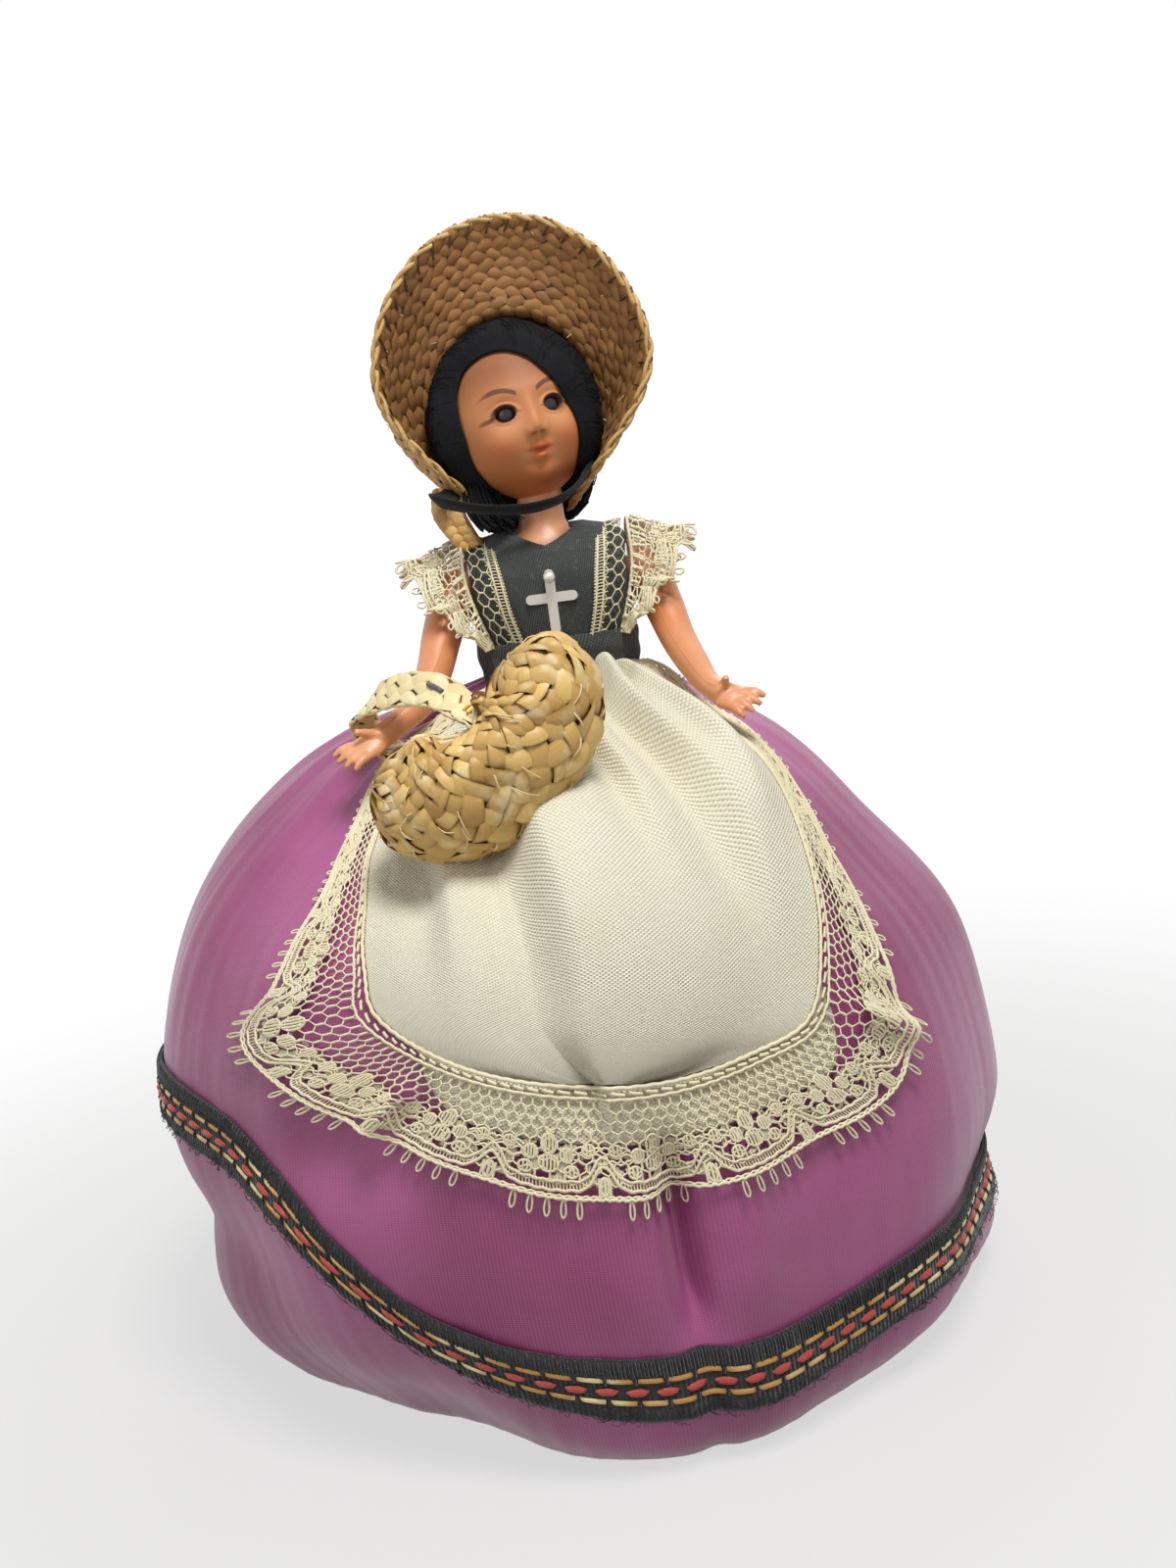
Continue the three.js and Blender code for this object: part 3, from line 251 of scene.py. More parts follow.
def grid(place, columns, rows, size=(1, 1), closed=False, flip=True):
    """A bmesh sheet whose points are place(u, v), with its UV map in millimetres of cloth."""
    bm = bmesh.new()
    layer = bm.loops.layers.uv.new("cloth")
    bmesh.ops.create_grid(bm, x_segments=columns, y_segments=rows, size=0.5)
    for face in bm.faces:
        for loop in face.loops:
            at = loop.vert.co
            loop[layer].uv = ((at.x + 0.5) * size[0], (at.y + 0.5) * size[1])
    for vertex in bm.verts:
        vertex.co = place(vertex.co.x + 0.5, vertex.co.y + 0.5)
    if closed:
        bmesh.ops.remove_doubles(bm, verts=bm.verts, dist=1e-7)
    if flip:
        bmesh.ops.reverse_faces(bm, faces=bm.faces)
    return bm


def close_ends(bm):
    bmesh.ops.holes_fill(bm, edges=[edge for edge in bm.edges if edge.is_boundary])


def thicken(made, thickness, offset=0.0):
    solid = made.modifiers.new("thickness", "SOLIDIFY")
    solid.thickness = thickness
    solid.offset = offset
    return made


def threads(name, runs, finish, body, sides=4, replaces=(), cyclic=False, solid=False):
    """Many threads as one curve piece, or one mesh. A run is a list of (point, radius in metres)."""
    curve = bpy.data.curves.new(name, "CURVE")
    curve.dimensions = "3D"
    curve.bevel_depth = MM
    curve.bevel_resolution = (sides - 4) // 2
    curve.use_fill_caps = True
    for run in runs:
        spline = curve.splines.new("POLY")
        spline.points.add(len(run) - 1)
        spline.points.foreach_set("co", [x for point, _ in run for x in (*point, 1)])
        spline.points.foreach_set("radius", [radius / MM for _, radius in run])
        spline.use_cyclic_u = cyclic
        spline.use_smooth = True
    made = bpy.data.objects.new(name, curve)
    if solid:
        mesh = bpy.data.meshes.new_from_object(made)
        bpy.data.objects.remove(made)
        made = bpy.data.objects.new(name, mesh)
    return dress(made, finish, body, replaces)


# Camera, light and floor

EYE = Vector((8.5, -302, 144)) * MM
LOOK_DOWN = math.radians(9.5)
CAMERA_ROLL = math.radians(7.5)
LENS = 38.25  # millimetres, on a sensor 36 long


def add_camera():
    data = bpy.data.cameras.new("camera")
    data.lens = LENS
    data.clip_start = 10 * MM
    camera = bpy.data.objects.new("camera", data)
    bpy.context.scene.collection.objects.link(camera)
    ahead = Vector((0, math.cos(LOOK_DOWN), -math.sin(LOOK_DOWN)))
    up = Vector((1, 0, 0)).cross(ahead)
    across = Vector((1, 0, 0)) * math.cos(CAMERA_ROLL) - up * math.sin(CAMERA_ROLL)
    above = Vector((1, 0, 0)) * math.sin(CAMERA_ROLL) + up * math.cos(CAMERA_ROLL)
    turn = Matrix((across, above, -ahead)).transposed()
    camera.matrix_world = Matrix.Translation(EYE) @ turn.to_4x4()
    bpy.context.scene.camera = camera


def add_lamp(name, place, size, watts):
    data = bpy.data.lights.new(name, "AREA")
    data.size = size
    data.energy = watts
    lamp = bpy.data.objects.new(name, data)
    bpy.context.scene.collection.objects.link(lamp)
    place = Vector(place)
    aim = Vector((0, 0, 0.1)) - place
    lamp.matrix_world = Matrix.Translation(place) @ aim.to_track_quat("-Z", "Y").to_matrix().to_4x4()


def add_world(light, shown):
    """An even grey-white room: one strength lights the doll, another is what the camera sees."""
    world = bpy.data.worlds.new("room")
    bpy.context.scene.world = world
    world.use_nodes = True
    nodes, links = world.node_tree.nodes, world.node_tree.links
    nodes.clear()
    path = nodes.new("ShaderNodeLightPath")
    seen = nodes.new("ShaderNodeMath")
    seen.operation = "MAXIMUM"
    clear = nodes.new("ShaderNodeMath")
    clear.operation = "MAXIMUM"
    links.new(path.outputs["Is Camera Ray"], seen.inputs[0])
    links.new(path.outputs["Is Glossy Ray"], seen.inputs[1])
    links.new(seen.outputs[0], clear.inputs[0])
    links.new(path.outputs["Is Transmission Ray"], clear.inputs[1])
    mix = nodes.new("ShaderNodeMixShader")
    links.new(clear.outputs[0], mix.inputs[0])
    for socket, strength in ((1, light), (2, shown)):
        background = nodes.new("ShaderNodeBackground")
        background.inputs["Color"].default_value = (1, 1, 1, 1)
        background.inputs["Strength"].default_value = strength
        links.new(background.outputs[0], mix.inputs[socket])
    links.new(mix.outputs[0], nodes.new("ShaderNodeOutputWorld").inputs["Surface"])


def floor_finish():
    """White paper: it keeps a soft shadow near the doll and fades to plain white further out."""
    finish = Finish("floor_paper", colour(176, 174, 171), 0.9)
    glow = finish.tree.nodes.new("ShaderNodeEmission")
    path = finish.tree.nodes.new("ShaderNodeLightPath")
    camera_ray, glossy_ray, clear_ray = (
        Link(finish, path.outputs[f"Is {kind} Ray"]) for kind in ("Camera", "Glossy", "Transmission")
    )
    seen = finish.maths("MAXIMUM", camera_ray, glossy_ray)
    seen = finish.maths("MAXIMUM", seen, clear_ray)
    distance = finish.node("VectorMath", {"operation": "LENGTH"}, {0: finish.place()}, "Value")
    share = (finish.level(distance, 0.08, 0.3) * 0.36 + 0.64) * seen
    mix = finish.tree.nodes.new("ShaderNodeMixShader")
    finish.tree.links.new(share.socket, mix.inputs[0])
    finish.tree.links.new(finish.shader.outputs[0], mix.inputs[1])
    finish.tree.links.new(glow.outputs[0], mix.inputs[2])
    finish.tree.links.new(mix.outputs[0], finish.tree.nodes["Material Output"].inputs["Surface"])
    return finish.material


def add_stage():
    bpy.context.scene.view_settings.view_transform = "Standard"
    add_camera()
    add_world(0.24, 1.0)
    add_lamp("key", (0.14, -0.32, 0.76), 0.24, 5.0)
    add_lamp("fill", (-0.6, -0.5, 0.4), 0.5, 1.2)
    add_lamp("back", (0.1, 0.7, 0.6), 0.5, 1.8)
    bm = bmesh.new()
    bmesh.ops.create_circle(bm, cap_ends=True, segments=64, radius=3)
    mesh = bpy.data.meshes.new("floor")
    bm.to_mesh(mesh)
    bm.free()
    floor = bpy.data.objects.new("floor", mesh)
    bpy.context.scene.collection.objects.link(floor)
    mesh.materials.append(floor_finish())


# Skirt surface, by azimuth from the front and by millimetres down the cloth

SKIRT_RINGS = (  # height, radius and sideways middle from waist to hem
    (113.4, 14.2, 6.5), (108, 33, -2), (98, 49, -2.8), (82, 62, -3.3), (62, 71.5, -1.6),
    (42, 75, 0), (22, 74, 0.7), (8, 69.6, 2), (-0.5, 63, 3),
)
SKIRT_CLOTH = 0.7
FOLD_DEPTH = 1.5
FRONT_CREASE = 6.2
UNEVEN = (  # degrees round, share down, spread round, spread down, millimetres outwards
    (-26, 0.25, 38, 0.16, -10), (78, 0.83, 32, 0.06, -4.2), (78, 0.935, 30, 0.045, 1.2),
    (80, 0.52, 30, 0.08, 1.8), (-78, 0.77, 32, 0.07, -5), (12, 0.98, 24, 0.12, 6),
    (-32, 0.98, 20, 0.12, -7), (-32, 0.62, 14, 0.05, -1.6), (60, 1.0, 22, 0.06, -3.2),
)
PROFILE_STEPS = 800


def measured_profile():
    """The skirt's profile as (length, radius, height), dense enough to read by length."""
    rings = [Vector((r, 0, z)) for z, r, _ in SKIRT_RINGS]
    points = [catmull(rings, i / PROFILE_STEPS, 1) for i in range(PROFILE_STEPS + 1)]
    made = [(0.0, points[0].x, points[0].z)]
    for a, b in zip(points, points[1:]):
        made.append((made[-1][0] + (b - a).length, b.x, b.z))
    return made


PROFILE = measured_profile()
SKIRT_LENGTH = PROFILE[-1][0]


def even_profile():
    """The same profile as (radius, height), read at even lengths."""
    made = []
    k = 0
    for i in range(PROFILE_STEPS + 1):
        length = SKIRT_LENGTH * i / PROFILE_STEPS
        while k < PROFILE_STEPS - 1 and PROFILE[k + 1][0] < length:
            k += 1
        (l0, r0, z0), (l1, r1, z1) = PROFILE[k], PROFILE[k + 1]
        share = clamp((length - l0) / (l1 - l0))
        made.append((lerp(r0, r1, share), lerp(z0, z1, share)))
    return made


EVEN_PROFILE = even_profile()


def profile_at(share):
    place = clamp(share) * PROFILE_STEPS
    i = min(int(place), PROFILE_STEPS - 1)
    (r0, z0), (r1, z1) = EVEN_PROFILE[i], EVEN_PROFILE[i + 1]
    return lerp(r0, r1, place - i), lerp(z0, z1, place - i)


RING_MIDDLES = tuple((i / (len(SKIRT_RINGS) - 1), x) for i, (_, _, x) in enumerate(SKIRT_RINGS))


def skirt_point(azimuth, length, offset=0.0):
    """A place on the skirt, offset millimetres outside the middle of its cloth."""
    share = clamp(length / SKIRT_LENGTH)
    r, z = profile_at(share)
    r0, z0 = profile_at(max(share - 0.01, 0))
    r1, z1 = profile_at(min(share + 0.01, 1))
    steep = math.hypot(z0 - z1, r1 - r0)
    slope_x, slope_z = (z0 - z1) / steep, (r1 - r0) / steep
    degrees = math.degrees(azimuth)
    gathers = 0.35 * math.cos(azimuth * 24 + 0.6) * hump(share, 0.14, 0.12)
    waves = 0.5 * math.cos(azimuth * 5 + 1.1) + 0.35 * math.cos(azimuth * 9 - 0.7)
    waves += 0.25 * math.cos(azimuth * 13 + 2.1)
    crease = hump(degrees, 10, 2.2) - 0.3 * hump(degrees, 17, 5) - 0.2 * hump(degrees, 3, 5)
    crease *= smoothstep(share, 0.58, 0.7) - 0.8 * smoothstep(share, 0.77, 0.85)
    swell = offset + gathers + FOLD_DEPTH * waves * smoothstep(share, 0.08, 0.6)
    swell -= FRONT_CREASE * crease
    for round_at, down_at, round_spread, down_spread, out in UNEVEN:
        swell += out * hump(degrees, round_at, round_spread) * hump(share, down_at, down_spread)
    hem = smoothstep(share, 0.9, 1)
    radius = r + swell * lerp(slope_x, 1, hem)
    height = z + swell * slope_z * (1 - hem)
    middle = through(RING_MIDDLES, share * 0.999)
    waist = 1 - smoothstep(share, 0, 0.075)  # the gathers are drawn in under the waistband
    wide, deep = radius * (1 - 0.14 * waist), radius * (1 - 0.32 * waist)
    return Vector((middle + wide * math.sin(azimuth), -deep * math.cos(azimuth), height + 1.8 * waist)) * MM


def around(u):
    return (u - 0.5) * math.tau


def satin_finish():
    """Purple-magenta satin: fine floats across, warm shadows, broad sheen."""
    finish = Finish("purple_satin", roughness=0.36)
    cloth = finish.place(cloth=True)
    weave = finish.ripple(cloth, 1, 0.34) * finish.ripple(cloth, 0, 0.5)
    slub = finish.noise(finish.place((1, 9, 1), cloth=True), 0.9, 3)
    cloudy = finish.noise(finish.place(), 22, 3)
    plain = finish.mix(colour(134, 50, 95), colour(164, 80, 130), finish.level(cloudy, 0.35, 0.65))
    finish.set("Base Color", finish.mix(plain, colour(190, 112, 160), weave * 0.4))
    finish.set("Roughness", 0.3 + slub * 0.16)
    finish.set("Sheen Weight", 0.25)
    finish.set("Sheen Roughness", 0.4)
    finish.set("Anisotropic", 0.5)
    return finish.bump(weave * 0.7 + slub * 0.6, 0.35, 0.12 * MM)


def net_finish():
    """White stiffened net inside the skirt."""
    finish = Finish("stiff_net", colour(226, 221, 212), 0.9)
    cloth = finish.place(cloth=True)
    mesh = finish.ripple(cloth, 0, 1.1) * finish.ripple(cloth, 1, 1.1)
    finish.set("Base Color", finish.mix(colour(232, 228, 220), colour(186, 178, 168), mesh))
    return finish.bump(mesh, 0.8, 0.3 * MM)


def make_skirt():
    hem_roll = 2.2  # the hem turns under over this length

    def place(u, v):
        azimuth = around(u)
        length = v * SKIRT_LENGTH
        puckers = 0.22 * noise.noise(Vector((math.sin(azimuth) * 26, math.cos(azimuth) * 26, length / 30)))
        creases = 0.5 * noise.noise(Vector((math.sin(azimuth) * 5, math.cos(azimuth) * 5, length / 26)))
        top = 0.5 * math.cos(azimuth * 52) * hump(v, 0.03, 0.07)
        p = skirt_point(azimuth, length, puckers + creases * smoothstep(v, 0.1, 0.4) + top)
        p.z = max(p.z, 0.4 * MM)
        if length > SKIRT_LENGTH - hem_roll:
            p.xy *= 1 - 0.012 * (length - SKIRT_LENGTH + hem_roll) / hem_roll
        return p

    bm = grid(place, 420, 110, (420, SKIRT_LENGTH), closed=True)
    skirt = piece("satin_skirt", bm, satin_finish(), "body", ["skirt"])
    thicken(skirt, SKIRT_CLOTH * MM, 0)


def make_petticoat():
    low = SKIRT_LENGTH - 12
    inset = -(SKIRT_CLOTH + 1.6)

    def place(u, v):
        azimuth = around(u)
        length = 7 + v * (low - 7)
        return skirt_point(azimuth, length, inset + 0.25 * math.cos(azimuth * 60))

    bm = grid(place, 240, 40, (420, low), closed=True)
    petticoat = piece("net_petticoat", bm, net_finish(), "body", ["petticoat"])
    thicken(petticoat, 0.4 * MM, 0)


# Braid: where its middle runs, as degrees round from the front and millimetres from the waist

BRAID_PATH = (
    (-180, 112), (-120, 99), (-75, 91), (-50, 93), (-38, 100), (-29, 110.3), (-21, 119.3), (-12, 124),
    (0, 127), (16, 128.8), (31, 128), (44, 125.5), (60, 126), (90, 125), (130, 118), (180, 112),
)
BRAID_WIDTH = 10
BRAID_LIFT = SKIRT_CLOTH / 2 + 0.5
BRAID_RUN = 470
DASHES = 108
GOLD_LINES = (-1.7, 1.7)
BRAID_ROUND = 74.5  # the skirt's radius at the braid, which turns a dash's length into an angle


def braid_point(azimuth, across, lift):
    """A place on the braid, by millimetres from its middle line and above its back."""
    middle = through(BRAID_PATH, math.degrees(azimuth))
    return skirt_point(azimuth, middle + across, BRAID_LIFT + lift)


def wool_finish():
    finish = Finish("black_wool", roughness=0.9)
    cloth = finish.place(cloth=True)
    ribs = finish.ripple(cloth, 0, 0.8)
    fuzz = finish.noise(finish.place(), 1500, 3)
    flecks = finish.level(finish.noise(finish.place(), 1100, 2), 0.58, 0.74)
    dark = finish.mix(colour(18, 17, 18), colour(46, 46, 50), ribs * fuzz)
    finish.set("Base Color", finish.mix(dark, colour(84, 88, 96), flecks * 0.5))
    finish.set("Sheen Weight", 0.25)
    return finish.bump(ribs * 0.7 + fuzz * 0.8, 0.9, 0.3 * MM)


def gold_finish():
    finish = Finish("gold_strip", roughness=0.35, Metallic=0.35)
    worn = finish.noise(finish.place(), 90, 2)
    shine = finish.level(worn, 0.42, 0.62)
    finish.set("Base Color", finish.mix(colour(186, 138, 70), colour(224, 206, 150), shine))
    finish.set("Roughness", 0.28 + worn * 0.2)
    return finish.material


def red_finish():
    finish = Finish("red_stitch", roughness=0.35)
    fibres = finish.noise(finish.place((1, 1, 6)), 900, 2)
    finish.set("Base Color", finish.mix(colour(140, 34, 32), colour(196, 78, 66), fibres))
    return finish.bump(fibres, 0.5, 0.08 * MM)


def make_braid():
    def place(u, v):
        across = (v - 0.5) * BRAID_WIDTH
        rim = 0.5 * (1 - min(abs(v - 0.5) * 2, 1) ** 6) ** 0.5
        channel = 0.25 * hump(abs(across), 0, 2.6)
        turn = around(u)
        wander = 0.22 * noise.noise(Vector((math.sin(turn) * 15, math.cos(turn) * 15, v * 2)))
        return braid_point(turn, across + wander, 0.1 + rim - channel)

    bm = grid(place, 900, 14, (BRAID_RUN, BRAID_WIDTH), closed=True)
    wool_look = wool_finish()
    wool = piece("wool_braid", bm, wool_look, "body", ["skirt_braid"])
    thicken(wool, 0.3 * MM, -1)

    # a comb of upright loops along the upper border, loose hairs along the lower one
    rng = random.Random(11)
    runs = []
    for n in range(900):
        turn = math.tau * (n + rng.uniform(-0.2, 0.2)) / 900 - math.pi
        reach = rng.uniform(2.1, 2.7)
        ends = [(-4.6 - rng.uniform(0, 0.25), 0.35), (-4.0, 0.72), (-reach, 0.66)]
        runs.append([(braid_point(turn, a, h), 0.17 * MM) for a, h in ends])
    for _ in range(1300):
        turn = math.tau * rng.random() - math.pi
        start = rng.uniform(2.4, 4.8)
        sway = rng.uniform(-0.014, 0.014)
        curl = [
            (0, start, 0.55),
            (sway, start + rng.uniform(0.1, 0.7), 0.85),
            (sway * 2, start + rng.uniform(0, 1), 0.6),
        ]
        runs.append([(braid_point(turn + t, min(a, 5.3), h), 0.06 * MM) for t, a, h in curl])
    fringe = threads("wool_braid_hairs", runs, wool_look, "body")

    gold, red = gold_finish(), red_finish()
    rows = (  # name, lines from the middle, half length, half width, height, shift along, finish
        ("gold_dashes", GOLD_LINES, 1.86, 0.4, 0.3, 0.0, gold),
        ("red_dashes", (0.0,), 1.62, 0.62, 0.62, 0.5, red),
    )
    for name, lines, half, wide, high, shift, finish in rows:
        bm = bmesh.new()
        for row in lines:
            for n in range(DASHES):
                turn = math.tau * (n + shift + 0.05 * noise.noise(Vector((n, row, 2)))) / DASHES
                made = bmesh.ops.create_grid(bm, x_segments=6, y_segments=4, size=1)
                for vertex in made["verts"]:
                    x, y, _ = vertex.co
                    narrow = 1 - 0.75 * abs(x) ** 2.5 if name == "red_dashes" else 1 - 0.1 * x**4
                    lift = high * max(0, 1 - x**6) * (1 - 0.9 * y**2) ** 0.5
                    lean = 0.1 * x if name == "red_dashes" else 0
                    azimuth = turn - math.pi + x * half / BRAID_ROUND
                    vertex.co = braid_point(azimuth, row + y * wide * narrow - lean, 0.42 + lift)
        bmesh.ops.reverse_faces(bm, faces=bm.faces)
        piece(name, bm, finish, "body")
    # the black thread that crosses each gold strip between two dashes
    ties = []
    steps = ((-0.75, 0.42), (0, 0.78), (0.75, 0.42))  # across and above
    for row in GOLD_LINES:
        for n in range(DASHES):
            turn = math.tau * (n + 0.5) / DASHES - math.pi
            ties.append([(braid_point(turn, row + a, h), 0.19 * MM) for a, h in steps])
    threads("braid_ties", ties, wool_look, "body")


# Apron and its lace: the edges of each as sideways distance and length from the waist

APRON_EDGES = (
    (
        (-9, 0.6), (-18, 13), (-27, 25), (-33, 38), (-31.5, 52),
        (-30.5, 62), (-29, 69.5), (-19, 76.5), (-6, 80.8),
    ),
    ((9, 0.6), (22, 12), (33, 27), (40.5, 43.5), (42, 58), (40, 70), (35, 79.5), (24, 82), (10, 83)),
)
LACE_EDGES = (
    (
        (-15.4, 1.6), (-23, 12.5), (-32.5, 26), (-41, 40), (-45.5, 54),
        (-52.5, 66), (-62.5, 77), (-36, 88.4), (-10, 98.6),
    ),
    ((15.4, 1.6), (30, 9), (41, 24), (49.5, 42), (52, 60), (54, 80), (51.5, 95.5), (33, 99.6), (10, 101.5)),
)
APRON_TURN = 0.06
APRON_LIFT = SKIRT_CLOTH / 2 + 1.05
APRON_PLEATS = (  # share across, width, depth in millimetres, length where it fades out, drift per millimetre
    (0.09, 0.05, 2.2, 50, 0.0), (0.25, 0.07, 3.4, 80, -0.0004), (0.43, 0.1, 7.4, 112, 0.0006),
    (0.6, 0.05, 3.2, 62, 0.002), (0.74, 0.07, 6.2, 74, 0.0028), (0.88, 0.05, 3.4, 54, 0.0008),
)


def apron_folds(share, length):
    """How far the apron stands off the skirt, by share across and length."""
    total = 0.0
    for middle, width, depth, fade, drift in APRON_PLEATS:
        at = middle + drift * length
        steep = 0.36 if share < at else 1.1  # each pleat lies over to one side
        lasting = 1 - smoothstep(length, fade * 0.5, fade)
        total += depth * hump(share, at, width * steep * (1 + length / 70)) * lasting
        total -= 0.35 * depth * hump(share, at - width * 1.1, width * 0.8) * lasting
    soft = noise.noise(Vector((share * 4, length / 26, 3.7)))
    belly = 1.6 * hump(share, 0.66, 0.22) * hump(length, 58, 22)
    belly += 1.2 * hump(share, 0.16, 0.14) * hump(length, 66, 16)
    floor = -0.75 * (1 - smoothstep(length, 70, 82))
    return max(total * smoothstep(length, 0.4, 9) + 1.4 * soft * smoothstep(length, 15, 40) + belly, floor)


def apron_point(across, length, lift):
    radius = profile_at(length / SKIRT_LENGTH)[0]
    tucked = 0.3 + 0.7 * smoothstep(length, 0, 6)
    return skirt_point(APRON_TURN + across / radius, length, (APRON_LIFT + lift) * tucked)


def cotton_finish():
    """Ivory cotton in a coarse basket weave."""
    finish = Finish("ivory_cotton", roughness=0.9)
    cloth = finish.place(cloth=True)
    warp = finish.ripple(cloth, 0, 0.8)
    weft = finish.ripple(cloth, 1, 0.58)
    over = warp * weft
    under = (1 - warp) * (1 - weft)
    weave = finish.maths("MAXIMUM", over, under)
    stain = finish.noise(finish.place(), 34, 3)
    slub = finish.noise(finish.place((0.3, 3, 1), cloth=True), 1.2, 2)
    raised = finish.level(weave + slub * 0.3, 0.12, 0.55)
    clean = finish.mix(colour(200, 188, 148), colour(240, 236, 216), raised)
    finish.set("Base Color", finish.mix(clean, colour(226, 208, 164), finish.level(stain, 0.54, 0.78) * 0.5))
    finish.set("Sheen Weight", 0.1)
    return finish.bump(weave + slub * 0.3, 1.0, 0.2 * MM)


def yarn_finish():
    finish = Finish("ivory_lace", roughness=0.85)
    tone = finish.noise(finish.place(), 60, 3)
    twist = finish.noise(finish.place(), 2200, 2)
    shade = tone * 0.7 + twist * 0.4
    finish.set("Base Color", finish.mix(colour(210, 194, 148), colour(248, 242, 214), shade))
    finish.set("Sheen Weight", 0.1)
    return finish.bump(twist, 0.7, 0.1 * MM)


def ground_finish(name, start, end):
    """The woven patches of a lace between two distances from its seam; all between them is open."""
    finish = Finish(name, roughness=0.9)
    cloth = finish.place(cloth=True)
    v = finish.axis(cloth, 1)
    zone = finish.level(v, start - 0.6, start + 0.6) - finish.level(v, end - 0.4, end + 0.4)
    patch = finish.level(finish.noise(cloth, 0.5, 2) * zone, 0.5, 0.53)
    picks = finish.ripple(cloth, 0, 0.42)
    gaps = finish.level(picks + finish.noise(cloth, 3, 2), 0.42, 0.5)
    finish.set("Alpha", patch * gaps)
    yarn = finish.noise(cloth, 4, 3)
    shade = picks * 0.5 + yarn * 0.5
    finish.set("Base Color", finish.mix(colour(206, 194, 152), colour(248, 243, 222), shade))
    return finish.bump(picks + yarn * 0.4, 0.9, 0.2 * MM)


def make_apron():
    right, left = APRON_EDGES

    def place(u, v):
        (x0, y0), (x1, y1) = even_catmull(right, v), even_catmull(left, v)
        length = lerp(y0, y1, u)
        return apron_point(lerp(x0, x1, u), length, 0.1 + apron_folds(u, length))

    cotton = cotton_finish()
    bm = grid(place, 240, 200, (74, 88))
    apron = piece("cotton_apron", bm, cotton, "body", ["apron"])
    thicken(apron, 0.4 * MM, 0)

    # the cloth goes on a little way under the lace along its lower edge
    length, on_lace = lace_mapping()
    start, end = (length * share for share in CORNERS)

    def under(u, v):
        along = lerp(start - 8, end + 8, u)
        closing = 1 - smoothstep(along, end - 12, end + 6)
        depth = 0.6 + HEM_DEPTH * smoothstep(along, start - 6, start + 12) * closing
        return on_lace(along, depth * v, -0.5)

    bm = grid(under, 160, 10, (end - start + 16, HEM_DEPTH))
    hem = piece("apron_hem", bm, cotton, "body")
    thicken(hem, 0.3 * MM, 0)


LACE_DEPTH = 18.2  # from the seam to the tips of the loops, millimetres
LACE_REPEAT = 14.2
LACE_CORD_STEP = 0.42  # millimetres between two points of its long cords
PICOT_PITCH = 1.95
CORNERS = (0.36, 0.65)  # shares of the lace's length
HEM_DEPTH = 7.5


def whole_edge(edges):
    right, left = edges
    return [*right, *reversed(left)]


def lace_mapping():
    """Returns the lace's length and a function from (along, across, lift) to a place."""
    inner_edge, outer_edge = whole_edge(APRON_EDGES), whole_edge(LACE_EDGES)
    steps = 400
    rows = []
    for i in range(steps + 1):
        inner, outer = even_catmull(inner_edge, i / steps), even_catmull(outer_edge, i / steps)
        down = clamp(i / steps * 2 if i * 2 <= steps else 2 - i / steps * 2)
        half = [even_catmull(edge, down) for edge in APRON_EDGES]
        share = clamp((inner[0] - half[0][0]) / max(half[1][0] - half[0][0], 1))
        rows.append((inner, outer, share))
    lengths = [0.0]
    for (a, b, _), (c, d, _) in zip(rows, rows[1:]):
        middle, after = (a[0] + b[0]) / 2 - (c[0] + d[0]) / 2, (a[1] + b[1]) / 2 - (c[1] + d[1]) / 2
        lengths.append(lengths[-1] + math.hypot(middle, after))

    def place(along, across, lift=0.0):
        low, high = 0, steps
        along = clamp(along, 0, lengths[-1])
        while high - low > 1:
            k = (low + high) // 2
            low, high = (k, high) if lengths[k] <= along else (low, k)
        part = (along - lengths[low]) / (lengths[low + 1] - lengths[low])
        (i0, o0, s0), (i1, o1, s1) = rows[low], rows[low + 1]
        inner = (lerp(i0[0], i1[0], part), lerp(i0[1], i1[1], part))
        outer = (lerp(o0[0], o1[0], part), lerp(o0[1], o1[1], part))
        share = across / LACE_DEPTH
        x, y = lerp(inner[0], outer[0], share), lerp(inner[1], outer[1], share)
        fold = apron_folds(lerp(s0, s1, part), inner[1]) * (1 - smoothstep(share, 0, 0.6))
        wave = 0.25 + 0.7 * noise.noise(Vector((along / 9, across / 12, 1.3)))
        tuck = 0.0
        for corner in CORNERS:
            middle = corner * lengths[-1] + 3 * share
            tuck += 2.6 * hump(along, middle, 1.9) - 0.5 * hump(along, middle + 4, 2)
        return apron_point(x, y, lift + fold + (wave + tuck) * smoothstep(share, 0, 0.5))

    return lengths[-1], place


def net_runs(length, low, high, add, pitch=1.9, row=1.42, sway=0.3, radius=0.16):
    """A hexagon net between two distances from the seam."""
    rows = int((high - low) / row)
    count = int(length / (pitch / 2))
    for k in range(rows + 1):
        middle = low + k * row
        points = [(i * pitch / 2, middle + (sway if (i + k) % 2 else -sway)) for i in range(count + 1)]
        add(points, radius)
        if k == rows:
            break
        for i in range((k + 1) % 2, count + 1, 2):
            x = i * pitch / 2
            add([(x, middle + sway), (x, middle + row - sway)], radius * 1.25)


def tally(add, x, y, wide, high, count):
    """A woven leaf: close parallel threads inside an oval."""
    for n in range(count):
        side = (n / (count - 1) - 0.5) * 2
        reach = high / 2 * math.sqrt(max(0.06, 1 - side**2))
        px = x + side * wide / 2
        add([(px, y - reach), (px + 0.05, y), (px, y + reach)], 0.2)
    add([(x + wide * 0.56 * math.sin(a), y + high * 0.54 * math.cos(a)) for a in circle(12)], 0.19)


def circle(steps):
    return [math.tau * i / steps for i in range(steps + 1)]


def loop_stitch(add, x, y, wide, high, radius=0.19, steps=12):
    """One picot: a long loop that hangs from the edge."""
    points = []
    for a in circle(steps):
        down = (1 - math.cos(a)) / 2
        points.append((x + wide / 2 * math.sin(a) * (0.55 + 0.45 * down), y + high * down))
    add(points, radius)


